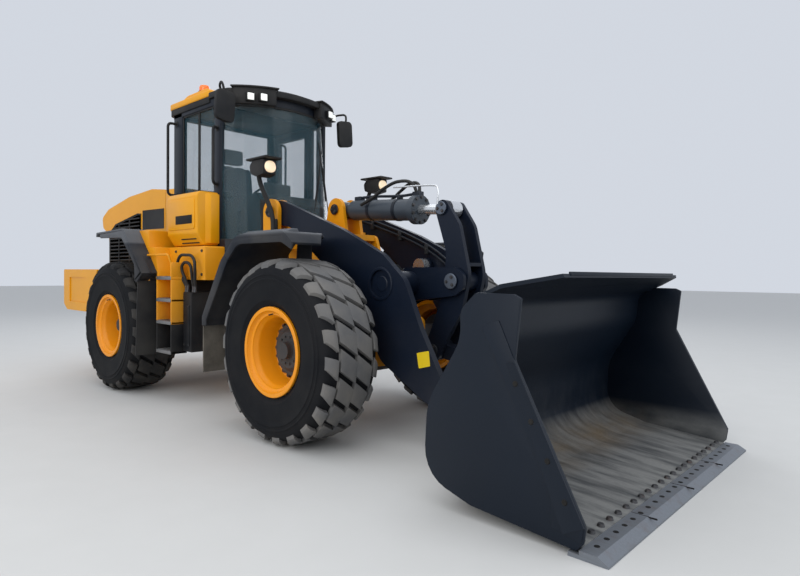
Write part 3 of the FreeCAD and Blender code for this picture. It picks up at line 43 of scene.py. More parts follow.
class Wire:
    def __init__(self, finish, socket):
        self.finish = finish
        self.socket = socket

    def __add__(self, other):
        return self.finish.sum("ADD", self, other)

    def __radd__(self, other):
        return self.finish.sum("ADD", other, self)

    def __sub__(self, other):
        return self.finish.sum("SUBTRACT", self, other)

    def __rsub__(self, other):
        return self.finish.sum("SUBTRACT", other, self)

    def __mul__(self, other):
        return self.finish.sum("MULTIPLY", self, other)

    def __truediv__(self, other):
        return self.finish.sum("DIVIDE", self, other)


class Finish:
    def __init__(self, name):
        self.material = bpy.data.materials.new(name)
        self.material.use_nodes = True
        self.tree = self.material.node_tree
        self.shader = self.tree.nodes["Principled BSDF"]

    def node(self, kind, settings=None, sockets=None, out=0):
        made = self.tree.nodes.new("ShaderNode" + kind)
        for key, value in (settings or {}).items():
            setattr(made, key, value)
        for key, value in (sockets or {}).items():
            self.feed(made.inputs[key], value)
        return Wire(self, made.outputs[out])

    def feed(self, socket, value):
        if isinstance(value, Wire):
            self.tree.links.new(value.socket, socket)
        else:
            socket.default_value = value

    def sum(self, operation, a, b):
        return self.node("Math", {"operation": operation}, {0: a, 1: b})

    def clamp(self, value):
        return self.node("Clamp", None, {"Value": value})

    def place(self):
        return self.node("TexCoord", out="Object")

    def along(self, place, axis):
        return self.node("SeparateXYZ", None, {0: place}, axis)

    def noise(self, place, scale, detail=3.0, rough=0.55):
        return self.node("TexNoise", None, {"Vector": place, "Scale": scale, "Detail": detail,
                                            "Roughness": rough})

    def blend(self, factor, a, b):
        return self.node("Mix", {"data_type": "RGBA"}, {"Factor": factor, 6: a, 7: b}, 2)

    def bump(self, height, strength, distance=0.002):
        return self.node("Bump", None, {"Height": height, "Strength": strength, "Distance": distance})

    def surface(self, **sockets):
        for key, value in sockets.items():
            self.feed(self.shader.inputs[key.replace("_", " ")], value)
        return self.material


def tint(red, green, blue):  # screen colour, 0 to 255, to scene light
    def level(c):
        c = c / 255
        return c / 12.92 if c <= 0.04045 else ((c + 0.055) / 1.055) ** 2.4
    return (level(red), level(green), level(blue), 1)


yellow = tint(240, 165, 0)
charcoal = tint(24, 31, 42)
dust = tint(150, 143, 132)


def paint(name, colour, gloss=0.34, dustAmount=0.10, dustTop=1.5, peel=0.25, coat=0.10, shine=0.30):
    finish = Finish(name)
    place = finish.place()
    height = finish.along(place, 2)
    broad = finish.noise(place, 1.7, 5)
    fine = finish.noise(place, 34, 4)
    shade = tuple(c * 0.80 for c in colour[:3]) + (1,)
    base = finish.blend(finish.clamp(broad * 0.9), colour, shade)
    low = finish.clamp((dustTop - height) / dustTop)
    mask = finish.clamp(low * finish.clamp(broad * 2.2 - 0.55) * dustAmount + fine * 0.02)
    base = finish.blend(mask, base, dust)
    rough = finish.clamp(gloss + mask * 0.5 + fine * 0.10)
    skin = finish.bump(finish.noise(place, 420, 2), peel, 0.0006)
    return finish.surface(Base_Color=base, Roughness=rough, Normal=skin, Coat_Weight=coat,
                          Coat_Roughness=0.18,
                          Specular_IOR_Level=shine)


def moulded(name, colour, rough=0.55, grain=600, dustAmount=0.25, shine=0.30, paleFrom=99):
    finish = Finish(name)
    place = finish.place()
    fine = finish.noise(place, grain, 3)
    broad = finish.noise(place, 2.6, 5)
    mask = finish.clamp(finish.clamp(broad * 2 - 0.6) * dustAmount)
    pale = finish.clamp((finish.along(place, 2) - paleFrom) * 40) * finish.clamp(broad * 0.7 + 0.3)
    base = finish.blend(pale * 0.75, finish.blend(mask, colour, dust), tint(116, 119, 124))
    return finish.surface(Base_Color=base, Roughness=finish.clamp(rough + mask * 0.4 + fine * 0.08),
                          Normal=finish.bump(fine, 0.30, 0.0008), Specular_IOR_Level=shine)


def rubber(name, colour, dustAmount, crown=0.0):
    finish = Finish(name)
    place = finish.place()
    fine = finish.noise(place, 90, 5)
    broad = finish.noise(place, 4.2, 5)
    height = finish.along(place, 2)
    low = finish.clamp((1.9 - height) / 1.9)
    spread = finish.clamp(broad * 2.4 - 0.75) * 0.8 + fine * 0.25
    mask = finish.clamp(spread * dustAmount * (0.6 + low * 0.6) + crown)
    base = finish.blend(mask, colour, dust)
    return finish.surface(Base_Color=base, Roughness=finish.clamp(0.72 + mask * 0.25),
                          Specular_IOR_Level=0.18,
                          Normal=finish.bump(fine + finish.noise(place, 500, 2) * 0.4, 0.45, 0.0016))


def bareMetal(name, colour, rough, scratches=0.3, rust=0.0):
    finish = Finish(name)
    place = finish.place()
    stretched = finish.node("Mapping", None, {"Vector": place, "Scale": (4, 60, 60)})
    streak = finish.noise(stretched, 3, 5)
    broad = finish.noise(place, 6, 5)
    base = finish.blend(finish.clamp(streak * scratches), colour, tuple(c * 0.45 for c in colour[:3]) + (1,))
    if rust:
        spots = finish.clamp((finish.noise(place, 14, 6) - 0.52) * 5 * rust)
        base = finish.blend(spots, base, tint(112, 74, 48))
    return finish.surface(Base_Color=base, Metallic=finish.clamp(0.95 - broad * 0.15),
                          Roughness=finish.clamp(rough + streak * 0.22 + broad * 0.06),
                          Normal=finish.bump(streak, 0.12, 0.0006))


def pane(name, colour, clear=0.84):
    finish = Finish(name)
    place = finish.place()
    film = finish.clamp(finish.noise(place, 2.3, 5) * 1.6 - 0.55)
    alpha = finish.clamp((1 - clear) + film * 0.05)
    return finish.surface(Base_Color=colour, Roughness=finish.clamp(0.03 + film * 0.05), Alpha=alpha,
                          Metallic=0.0, IOR=1.5)


def soilBed(name, colour):  # painted sheet, its floor scoured to dusty steel with soil left at the back
    finish = Finish(name)
    place = finish.place()
    height = finish.along(place, 2)
    across = finish.along(place, 1)
    ahead = finish.along(place, 0)
    inside = finish.clamp((1.330 - finish.node("Math", {"operation": "ABSOLUTE"}, {0: across})) * 300)
    broad = finish.noise(place, 3.1, 6)
    fine = finish.noise(place, 60, 5)
    scrape = finish.noise(finish.node("Mapping", None, {"Vector": place, "Scale": (0.9, 5, 2)}), 2.5, 5)
    low = finish.clamp((0.30 - height) * 7) * inside
    worn = finish.clamp(low * finish.clamp(scrape * 2.2 - 0.35))
    upper = finish.clamp((0.75 - height) * 1.3) * inside * finish.clamp(scrape * 2 - 0.8)
    heap = finish.clamp(1 - finish.node("Math", {"operation": "ABSOLUTE"}, {0: ahead - 3.22}) * 3.0)
    soil = finish.clamp(low * heap * finish.clamp(broad * 2.6 - 0.7))
    base = finish.blend(finish.clamp(broad * 0.8), colour, tuple(c * 0.7 for c in colour[:3]) + (1,))
    base = finish.blend(upper * 0.35, base, tint(92, 94, 96))
    base = finish.blend(worn * 0.85, base, finish.blend(fine, tint(128, 129, 128), tint(150, 150, 146)))
    base = finish.blend(soil * 0.8, base, finish.blend(fine, tint(96, 80, 58), tint(140, 120, 92)))
    return finish.surface(Base_Color=base,
                          Roughness=finish.clamp(0.40 + worn * 0.25 + soil * 0.4 + fine * 0.1),
                          Normal=finish.bump(fine * (0.2 + soil), 0.5, 0.004), Specular_IOR_Level=0.28)


yellowPaint = paint("yellowPaint", yellow)
yellowFrame = paint("yellowFramePaint", tint(238, 158, 2), gloss=0.42, dustAmount=0.22, dustTop=1.8)
charcoalPaint = paint("charcoalPaint", charcoal, gloss=0.36, dustAmount=0.18, dustTop=1.4, coat=0.0,
                      shine=0.32)
cylinderPaint = paint("cylinderPaint", tint(62, 70, 79), gloss=0.30, dustAmount=0.12, dustTop=1.4, coat=0.0,
                      shine=0.45)
boomPaint = paint("boomPaint", tint(9, 22, 40), gloss=0.33, dustTop=1.2, coat=0.0, shine=0.24)
bucketPaint = soilBed("bucketPaint", tint(11, 23, 37))
cabPaint = paint("cabPaint", tint(16, 24, 36), gloss=0.38, dustAmount=0.06, dustTop=2.0, coat=0.0, shine=0.26)
rimPaint = paint("rimPaint", tint(248, 156, 0), dustAmount=0.06, dustTop=1.0)
fenderPlastic = moulded("fenderPlastic", tint(20, 26, 36), rough=0.50, dustAmount=0.14, shine=0.24,
                        paleFrom=1.772)
blackPlastic = moulded("blackPlastic", tint(20, 22, 26), rough=0.5, dustAmount=0.10, shine=0.22)
trimRubber = moulded("trimRubber", tint(30, 31, 33), rough=0.62, grain=300, dustAmount=0.1)
frontRubber = rubber("frontTyreRubber", tint(9, 12, 18), dustAmount=0.03)
rearRubber = rubber("rearTyreRubber", tint(9, 12, 17), dustAmount=0.03)
treadRubber = rubber("frontTreadRubber", tint(84, 87, 92), dustAmount=0.40, crown=0.10)
rearTreadRubber = rubber("rearTreadRubber", tint(20, 23, 28), dustAmount=0.20)
flapRubber = rubber("flapRubber", tint(62, 59, 54), dustAmount=0.6)
hoseRubber = moulded("hoseRubber", tint(24, 25, 27), rough=0.45, grain=900, dustAmount=0.08)
chrome = bareMetal("chromeRod", tint(226, 228, 230), rough=0.08, scratches=0.06)
pinSteel = bareMetal("pinSteel", tint(112, 120, 132), rough=0.34)
edgeSteel = bareMetal("edgeSteel", tint(142, 147, 154), rough=0.50, scratches=0.40, rust=0.18)
boltSteel = bareMetal("boltSteel", tint(92, 92, 94), rough=0.40, scratches=0.4, rust=0.3)
castIron = paint("castIron", tint(48, 50, 54), gloss=0.6, dustAmount=0.3, dustTop=1.6, peel=0.6, coat=0.0)
cabGlass = pane("cabGlass", tint(70, 104, 116))
seatCloth = moulded("seatCloth", tint(46, 48, 54), rough=0.85, grain=260, dustAmount=0.05)
amberLens = Finish("amberLens").surface(Base_Color=tint(255, 122, 20), Roughness=0.16, Coat_Weight=0.6)
whiteLens = Finish("whiteLens").surface(Base_Color=tint(238, 240, 236), Roughness=0.12, Coat_Weight=0.8,
                                        Emission_Color=(1, 1, 0.94, 1), Emission_Strength=0.35)
headLens = Finish("headLens").surface(Base_Color=tint(244, 226, 196), Roughness=0.14, Coat_Weight=0.8,
                                      Emission_Color=(1, 0.72, 0.42, 1), Emission_Strength=0.45)
labelFace = moulded("labelFace", tint(228, 196, 20), rough=0.5, grain=300, dustAmount=0.10)
ceilingCloth = moulded("ceilingCloth", tint(96, 98, 100), rough=0.9, grain=300, dustAmount=0.05)
mirrorGlass = bareMetal("mirrorGlass", tint(210, 214, 218), rough=0.04, scratches=0.03)
wornTread = bareMetal("wornTread", tint(150, 150, 150), rough=0.45, scratches=0.4, rust=0.1)
# near-black for slots, holes and joints, the bucket's cutter bolts and the strips on its back; in the slots
# and holes it is painted shade
darkHoleShade = moulded("darkHole", tint(12, 12, 13), rough=0.7, grain=200, dustAmount=0.05)
redLens = Finish("redLens").surface(Base_Color=tint(170, 22, 18), Roughness=0.18, Coat_Weight=0.6)
print("materials ready")


def dress(material, *names):
    for name in names:
        mesh = nodes[name].data
        mesh.materials.clear()
        mesh.materials.append(material)


wheels = ("front_left", "front_right", "rear_left", "rear_right")
dress(frontRubber, "tyre_front_left", "tyre_front_right")
dress(rearRubber, "tyre_rear_left", "tyre_rear_right")
dress(rimPaint, *["rim_" + w for w in wheels])
dress(yellowFrame, "rear_chassis", "front_chassis", "ladders", "side_platforms")
dress(castIron, "front_axle", "rear_axle", "engine_block")
dress(yellowPaint, "counterweight", "hood", "side_box", "cab_roof")
dress(cabPaint, "cab_frame", "cab_door", "handrails")
dress(cabGlass, "cab_glass", "door_glass")
dress(fenderPlastic, "rear_fenders", "front_fenders")
dress(blackPlastic, "step_boxes", "mirrors", "head_lamps", "work_lamps")
dress(seatCloth, "operator_station")
dress(boomPaint, "boom", "lever", "link")
dress(bucketPaint, "bucket")
dress(edgeSteel, "cutting_edge")
dress(pinSteel, "bucket_pins", "lever_pin", "link_pin")
dress(chrome, "lift_rod_left", "lift_rod_right", "tilt_rod", "steer_rod_left", "steer_rod_right")
dress(cylinderPaint, "tilt_barrel")
dress(charcoalPaint, "lift_barrel_left", "lift_barrel_right", "steer_barrel_left", "steer_barrel_right")
dress(hoseRubber, "hoses")
dress(flapRubber, "mud_flaps")
dress(amberLens, "beacon")
dress(redLens, "tail_lamps")


# mesh helpers

def finishPiece(name, bm, body, *materials, smooth=38, stands=()):
    bmesh.ops.recalc_face_normals(bm, faces=bm.faces)
    mesh = bpy.data.meshes.new(name)
    bm.to_mesh(mesh)
    bm.free()
    for material in materials:
        mesh.materials.append(material)
    mesh.shade_smooth()
    mesh.set_sharp_from_angle(angle=math.radians(smooth))
    piece = bpy.data.objects.new(name, mesh)
    bpy.context.scene.collection.objects.link(piece)
    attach(piece, body)
    if stands:
        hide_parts(*stands)
    return piece


def block(bm, low, high, soften=0.006, segments=2, material=0):
    size = Vector(high) - Vector(low)
    centre = (Vector(high) + Vector(low)) / 2
    made = bmesh.ops.create_cube(bm, size=1)["verts"]
    bmesh.ops.scale(bm, vec=size, verts=made)
    edges = list({e for v in made for e in v.link_edges})
    if soften:
        made = bmesh.ops.bevel(bm, geom=edges, offset=soften, offset_type="OFFSET", affect="EDGES",
                               segments=segments, profile=0.5, material=-1)["verts"]
    island = reachFrom(made[0])
    bmesh.ops.translate(bm, vec=centre, verts=island)
    for face in {f for v in island for f in v.link_faces}:
        face.material_index = material
    return island


def reachFrom(vert):  # every vertex joined to this one
    seen = {vert}
    todo = [vert]
    while todo:
        for edge in todo.pop().link_edges:
            for other in edge.verts:
                if other not in seen:
                    seen.add(other)
                    todo.append(other)
    return list(seen)


def drum(bm, start, end, radius, segments=32, endRadius=None, material=0, soften=0.0):
    start = Vector(start)
    end = Vector(end)
    axis = end - start
    made = bmesh.ops.create_cone(bm, cap_ends=True, segments=segments, radius1=radius,
                                 radius2=radius if endRadius is None else endRadius,
                                 depth=axis.length)["verts"]
    if soften:
        rim = [e for e in {e for v in made for e in v.link_edges} if len({round(v.co.z,
                                                                                5) for v in e.verts}) == 1]
        made = bmesh.ops.bevel(bm, geom=rim, offset=soften, offset_type="OFFSET", affect="EDGES",
                               segments=2, profile=0.5, material=-1)["verts"]
        made = reachFrom(made[0])
    turn = Vector((0, 0, 1)).rotation_difference(axis.normalized()).to_matrix()
    bmesh.ops.rotate(bm, verts=made, cent=(0, 0, 0), matrix=turn)
    bmesh.ops.translate(bm, vec=(start + end) / 2, verts=made)
    for face in {f for v in made for f in v.link_faces}:
        face.material_index = material
    return made


def hexBolt(bm, at, axis, across, height, material=0, washer=True):
    at = Vector(at)
    axis = Vector(axis).normalized()
    if washer:
        drum(bm, at, at + axis * height * 0.22, across * 0.72, 20, material=material)
    drum(bm, at, at + axis * height, across * 0.56, 6, across * 0.52, material=material)


def ringSpin(bm, profile, centre, steps=96, closed=True, material=0):
    # profile points are (along the axis, radius), turned about an axis along Y
    verts = [bm.verts.new((0, y, r)) for y, r in profile]
    edges = [bm.edges.new((verts[i], verts[i + 1])) for i in range(len(verts) - 1)]
    if closed:
        edges.append(bm.edges.new((verts[-1], verts[0])))
    before = set(bm.faces)
    bmesh.ops.spin(bm, geom=verts + edges, cent=(0, 0, 0), axis=(0, 1, 0), dvec=(0, 0, 0),
                   angle=math.tau, steps=steps, use_merge=True, use_duplicate=False)
    faces = [f for f in bm.faces if f not in before]
    made = list({v for f in faces for v in f.verts})
    bmesh.ops.translate(bm, vec=centre, verts=made)
    for face in faces:
        face.material_index = material
    return made


def tubeCurve(name, radius, bevel=4):
    curve = bpy.data.curves.new(name, "CURVE")
    curve.dimensions = "3D"
    curve.bevel_depth = radius
    curve.bevel_resolution = bevel
    curve.use_fill_caps = True
    return curve


def pipe(name, points, radius, body, material, resolution=6, bevel=4):  # smooth tube through the points
    curve = tubeCurve(name, radius, bevel)
    curve.resolution_u = resolution
    line = curve.splines.new("BEZIER")
    line.bezier_points.add(len(points) - 1)
    for spot, point in zip(line.bezier_points, points):
        spot.co = point
        spot.handle_left_type = spot.handle_right_type = "AUTO"
    return curvePiece(name, curve, body, material)


def bentPipe(name, corners, bend, radius, body, material):  # straight runs joined by arcs
    points = [Vector(corners[0])]
    for before, here, after in zip(corners, corners[1:], corners[2:]):
        here = Vector(here)
        back = Vector(before) - here
        ahead = Vector(after) - here
        reach = min(bend, back.length * 0.48, ahead.length * 0.48)
        start = here + back.normalized() * reach
        end = here + ahead.normalized() * reach
        points += [start.lerp(here, t).lerp(here.lerp(end, t), t) for t in (0, 0.2, 0.4, 0.6, 0.8, 1)]
    points.append(Vector(corners[-1]))
    curve = tubeCurve(name, radius)
    line = curve.splines.new("POLY")
    line.points.add(len(points) - 1)
    for spot, point in zip(line.points, points):
        spot.co = (*point, 1)
    return curvePiece(name, curve, body, material)


def sideName(side):
    return "left" if side > 0 else "right"


def curvePiece(name, curve, body, material):
    shape = bpy.data.objects.new(name, curve)
    bpy.context.scene.collection.objects.link(shape)
    bpy.context.view_layer.update()
    graph = bpy.context.evaluated_depsgraph_get()
    mesh = bpy.data.meshes.new_from_object(shape.evaluated_get(graph))
    bpy.data.objects.remove(shape)
    mesh.materials.clear()
    mesh.materials.append(material)
    mesh.shade_smooth()
    piece = bpy.data.objects.new(name, mesh)
    bpy.context.scene.collection.objects.link(piece)
    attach(piece, body)
    return piece


# stage, light and camera

shot = {"at": (5.348, -4.19, 1.452), "azimuth": 42.75, "pitch": -1.01, "roll": 0.49, "lens": 26.54,
        "shiftY": -0.0044}


def setCamera():
    turn = math.radians(shot["azimuth"])
    pitch = math.radians(shot["pitch"])
    roll = math.radians(shot["roll"])
    look = Vector((-math.sin(turn) * math.cos(pitch), math.cos(turn) * math.cos(pitch), math.sin(pitch)))
    right = Vector((math.cos(turn), math.sin(turn), 0))
    up = right.cross(look)
    right, up = right * math.cos(roll) + up * math.sin(roll), up * math.cos(roll) - right * math.sin(roll)
    camera = bpy.data.objects.new("camera", bpy.data.cameras.new("camera"))
    bpy.context.scene.collection.objects.link(camera)
    camera.data.lens = shot["lens"]
    camera.data.sensor_width = 36
    camera.data.shift_y = shot["shiftY"]
    camera.data.clip_end = 200
    rows = Matrix((right, up, -look)).transposed().to_4x4()
    camera.matrix_world = Matrix.Translation(shot["at"]) @ rows
    bpy.context.scene.camera = camera


def setStage():
    floor = Finish("floorPale")
    place = floor.place()
    grain = floor.noise(place, 3.0, 6)
    floorMaterial = floor.surface(Base_Color=floor.blend(grain * 0.35, tint(206, 206, 204),
                                                         tint(190, 190, 187)),
                                  Roughness=0.85)
    bm = bmesh.new()
    bmesh.ops.create_grid(bm, x_segments=1, y_segments=1, size=60)
    mesh = bpy.data.meshes.new("floor")
    bm.to_mesh(mesh)
    bm.free()
    mesh.materials.append(floorMaterial)
    ground = bpy.data.objects.new("floor", mesh)
    bpy.context.scene.collection.objects.link(ground)
    world = bpy.data.worlds.new("studio")
    bpy.context.scene.world = world
    world.use_nodes = True
    back = world.node_tree.nodes["Background"]
    back.inputs["Color"].default_value = (0.86, 0.91, 1.0, 1)
    back.inputs["Strength"].default_value = 0.75
    lamps = {
        "overhead": ((1.0, -2.0, 11.0), (0.5, 0, 0), 14, 520, (1.0, 0.99, 0.97)),
        "side": ((3.5, -12.0, 6.5), (0, 0, 1.2), 9, 560, (1.0, 0.98, 0.95)),
        "front": ((14.0, 3.0, 6.0), (2.5, 0, 1.0), 8, 320, (0.95, 0.98, 1.0)),
        "back": ((-9.0, 9.0, 7.0), (0, 0, 1.5), 8, 320, (0.96, 0.98, 1.0)),
    }
    for name, (at, aim, size, power, colour) in lamps.items():
        lamp = bpy.data.lights.new(name, "AREA")
        lamp.shape = "SQUARE"
        lamp.size = size
        lamp.energy = power
        lamp.color = colour
        holder = bpy.data.objects.new(name, lamp)
        bpy.context.scene.collection.objects.link(holder)
        holder.location = at
        holder.rotation_mode = "QUATERNION"
        holder.rotation_quaternion = (Vector(aim) - Vector(at)).to_track_quat("-Z", "Y")
    bpy.context.scene.view_settings.view_transform = "Standard"


setStage()
setCamera()
print("stage, light and camera set")

# tyres and rims

tyre = {"crown": 0.790, "base": 0.754, "bead": 0.3623, "half": 0.294, "lugs": 22, "slant": 0.70,
        "rows": ({"from": -0.268, "to": -0.186, "wide": (0.112, 0.168), "lift": 0.42, "deep": 0.036},
                 {"from": -0.166, "to": 0.0, "wide": (0.184, 0.184), "lift": 0.0, "deep": 0.036},
                 {"from": 0.0, "to": 0.166, "wide": (0.184, 0.184), "lift": -0.26, "deep": 0.036},
                 {"from": 0.186, "to": 0.268, "wide": (0.168, 0.112), "lift": -0.68, "deep": 0.036})}
treadLine = ((0, 0.790), (0.150, 0.789), (0.215, 0.781), (0.250, 0.762), (0.272, 0.735), (0.288, 0.690),
             (0.294, 0.640))
wheelPlaces = {"front_left": (1.215, 1), "front_right": (1.215, -1), "rear_left": (-2.185, 1),
               "rear_right": (-2.185, -1)}
trackHalf = 1.045


def alongLine(line, at):
    for (a, va), (b, vb) in zip(line, line[1:]):
        if at <= b:
            return va + (vb - va) * (at - a) / (b - a)
    return line[-1][1]


def plainLug():  # unit block, its top edges eased, cut across its length so that it can follow the tread
    lug = bmesh.new()
    bmesh.ops.create_cube(lug, size=1)
    top = [e for e in lug.edges if e.verts[0].co.z > 0 and e.verts[1].co.z > 0]
    bmesh.ops.bevel(lug, geom=top, offset=0.05, offset_type="OFFSET", affect="EDGES", segments=1,
                    profile=0.5, material=-1)
    long = [e for e in lug.edges if abs(e.verts[0].co.y - e.verts[1].co.y) > 0.5]
    bmesh.ops.subdivide_edges(lug, edges=long, cuts=4, use_grid_fill=True)
    mesh = bpy.data.meshes.new("plainLug")
    lug.to_mesh(mesh)
    lug.free()
    return mesh


def lugBlock(bm, lug, row, turn):
    start = len(bm.verts)
    bm.from_mesh(lug)
    bm.verts.ensure_lookup_table()
    made = bm.verts[start:]
    for vert in made:
        across, along, up = vert.co.x, vert.co.y + 0.5, vert.co.z + 0.5
        y = row["from"] + (row["to"] - row["from"]) * along
        radius = alongLine(treadLine, abs(y)) - row["deep"] * (1 - up)
        wide = row["wide"][0] + (row["wide"][1] - row["wide"][0]) * along
        angle = turn + (across * wide * (1 - 0.06 * up) + tyre["slant"] * y) / tyre["crown"]
        vert.co = (radius * math.sin(angle), y, radius * math.cos(angle))
    for face in {f for v in made for f in v.link_faces}:
        face.material_index = 1


def tyrePiece(name):
    x, side = wheelPlaces[name]
    bm = bmesh.new()
    half, base, bead = tyre["half"], tyre["base"], tyre["bead"]
    wall = [(half - 0.054, bead), (half - 0.047, bead + 0.028), (half - 0.022, 0.425), (half - 0.014, 0.434),
            (half - 0.008, 0.490), (half - 0.002, 0.560), (half - 0.001, 0.600), (half + 0.003, 0.608),
            (half + 0.003, 0.614), (half - 0.003, 0.620), (half - 0.004, 0.640), (half + 0.000, 0.647),
            (half - 0.001, 0.654), (half - 0.009, 0.660), (half - 0.017, 0.690), (half - 0.030, 0.716),
            (half - 0.055, 0.733), (half - 0.095, base - 0.006), (half - 0.15, base)]
    step = math.tau / tyre["lugs"]
    lug = plainLug()
    for row in tyre["rows"]:
        for i in range(tyre["lugs"]):
            lugBlock(bm, lug, row, (i + row["lift"]) * step)
    bpy.data.meshes.remove(lug)
    ringSpin(bm, wall + [(-y, r) for y, r in reversed(wall)], (0, 0, 0), 96)
    bmesh.ops.translate(bm, vec=(x, trackHalf * side, tyre["crown"]), verts=bm.verts)
    skin = (frontRubber, treadRubber) if "front" in name else (rearRubber, rearTreadRubber)
    return finishPiece("tyre_" + name + "_dressed", bm, "wheel_" + name, *skin, stands=("tyre_" + name,),
                       smooth=30)


rim = {"out": 0.272, "flange": 0.381, "bead": 0.362, "step": 0.024, "wall": 0.020, "dish": 0.285,
       "disc": -0.020,
       "discThick": 0.026, "hub": 0.205, "hubOut": 0.085, "studs": 20, "studRing": 0.243}


def rimPiece(name):
    x, side = wheelPlaces[name]
    out, flange, bead, step, wall, dish = (rim[k] for k in ("out", "flange", "bead", "step", "wall", "dish"))
    face = rim["disc"] + rim["discThick"]
    profile = [
        (-out, bead - wall), (-out, flange - 0.004), (-out + 0.004, flange), (-out + step, flange),
        (-out + step + 0.004, bead), (-out + step + 0.045, bead), (-out + step + 0.100, dish + wall),
        (out - 0.100, dish + wall), (out - step - 0.045, bead), (out - step - 0.004, bead),
        (out - step, flange),
        (out - 0.004, flange), (out, flange - 0.006), (out - 0.002, bead - wall + 0.006),
        (out - 0.020, bead - wall),
        (out - 0.034, bead - wall - 0.012), (out - 0.040, bead - wall - 0.030),
        (out - 0.058, bead - wall - 0.036),
        (out - 0.075, dish + 0.008), (out - 0.095, dish), (face + 0.040, dish - 0.002),
        (face + 0.010, dish - 0.012),
        (face, dish - 0.028), (face, rim["hub"]), (rim["disc"], rim["hub"]), (rim["disc"], dish - 0.020),
        (rim["disc"] - 0.030, dish), (-out + 0.090, dish), (-out + 0.050, bead - wall),
    ]
    bm = bmesh.new()
    ringSpin(bm, [(y * side, r) for y, r in profile], (0, 0, 0), 96)
    # planetary hub through the disc, with its own bolts and cap
    hub = [(rim["disc"] - 0.06, 0), (rim["disc"] - 0.06, rim["hub"] - 0.002),
           (face + 0.030, rim["hub"] - 0.002),
           (face + 0.042, rim["hub"] - 0.014), (rim["hubOut"] - 0.018, rim["hub"] - 0.030),
           (rim["hubOut"], rim["hub"] - 0.050), (rim["hubOut"], 0.075), (rim["hubOut"] + 0.020, 0.068),
           (rim["hubOut"] + 0.020, 0)]
    ringSpin(bm, [(y * side, r) for y, r in hub], (0, 0, 0), 64, closed=False, material=1)
    for i in range(rim["studs"]):
        a = math.tau * i / rim["studs"]
        at = (rim["studRing"] * math.sin(a), face * side, rim["studRing"] * math.cos(a))
        hexBolt(bm, at, (0, side, 0), 0.032, 0.026, material=2)
    for i in range(12):
        a = math.tau * (i + 0.5) / 12
        at = (0.118 * math.sin(a), rim["hubOut"] * side, 0.118 * math.cos(a))
        hexBolt(bm, at, (0, side, 0), 0.018, 0.012, material=1, washer=False)
    drum(bm, (0.05, (rim["hubOut"] + 0.019) * side, 0.02), (0.05, (rim["hubOut"] + 0.030) * side, 0.02),
         0.012, 16, material=1)
    drum(bm, (0, (out - 0.030) * side, 0.318), (0, (out + 0.010) * side, 0.312), 0.006, 12, material=3)
    bmesh.ops.translate(bm, vec=(x, trackHalf * side, tyre["crown"]), verts=bm.verts)
    return finishPiece("rim_" + name + "_dressed", bm, "wheel_" + name, rimPaint, castIron, boltSteel,
                       trimRubber,
                       stands=("rim_" + name,), smooth=28)


for wheelName in wheels:
    tyrePiece(wheelName)
    rimPiece(wheelName)
print("tyres and rims done")


# hood grilles, blank sign plates, tail grille

hoodTrim = {"side": 0.640, "slatStep": 0.052, "slatHigh": 0.020}
grilleShape = ((-3.87, 1.53), (-3.87, 2.03), (-3.645, 2.150), (-2.90, 2.262), (-2.80, 2.255), (-2.80, 1.53))
signShape = ((-2.745, 2.030), (-2.745, 2.292), (-2.115, 2.280), (-2.115, 2.020))


def spanAt(shape, z):  # where a level line crosses the outline
    hits = []
    for (x0, z0), (x1, z1) in zip(shape, shape[1:] + shape[:1]):
        if (z0 - z) * (z1 - z) < 0:
            hits.append(x0 + (x1 - x0) * (z - z0) / (z1 - z0))
    return (min(hits), max(hits)) if len(hits) > 1 else None


def panelFace(bm, shape, y, side, thick, inset=0.0, sink=0.0, material=0):
    verts = [bm.verts.new((x, y * side, z)) for x, z in shape]
    face = bm.faces.new(verts)
    face.material_index = material
    made = bmesh.ops.extrude_face_region(bm, geom=[face])["geom"]
    moved = [v for v in made if isinstance(v, bmesh.types.BMVert)]
    bmesh.ops.translate(bm, vec=(0, thick * side, 0), verts=moved)
    top = next(f for f in made if isinstance(f, bmesh.types.BMFace))
    if inset:
        bmesh.ops.inset_region(bm, faces=[top], thickness=inset, depth=0, use_even_offset=True)
        bmesh.ops.translate(bm, vec=(0, -sink * side, 0), verts=top.verts)
    for f in {f for v in reachFrom(verts[0]) for f in v.link_faces}:
        f.material_index = material
    return top


def hoodGrille(side):
    bm = bmesh.new()
    y = hoodTrim["side"]
    panelFace(bm, grilleShape, y - 0.004, side, 0.014, 0.022, 0.010)
    levels = int((2.26 - 1.55) / hoodTrim["slatStep"]) + 1
    for i in range(levels):
        z = 1.560 + i * hoodTrim["slatStep"]
        span = spanAt(grilleShape, z + hoodTrim["slatHigh"])
        if span and span[1] - span[0] > 0.15:
            low = (span[0] + 0.030, side * (y + 0.002), z)
            high = (span[1] - 0.030, side * (y + 0.013), z + hoodTrim["slatHigh"])
            block(bm, [min(a, b) for a, b in zip(low, high)], [max(a, b) for a, b in zip(low, high)], 0.003,
                  1)
    for x in (-3.51, -3.15):
        high = spanAt([(z, x) for x, z in grilleShape], x)
        block(bm, (x - 0.012, min(side * y, side * (y + 0.016)), 1.545),
              (x + 0.012, max(side * y, side * (y + 0.016)), high[1] - 0.02), 0.003, 1)
    return finishPiece("hood_grille_" + sideName(side), bm, "hood", blackPlastic)


def signPlate(side):
    bm = bmesh.new()
    panelFace(bm, signShape, hoodTrim["side"] - 0.001, side, 0.006, 0.004, 0.001)
    return finishPiece("blank_plate_" + sideName(side), bm, "hood", blackPlastic)


for side in (-1, 1):
    hoodGrille(side)
    signPlate(side)


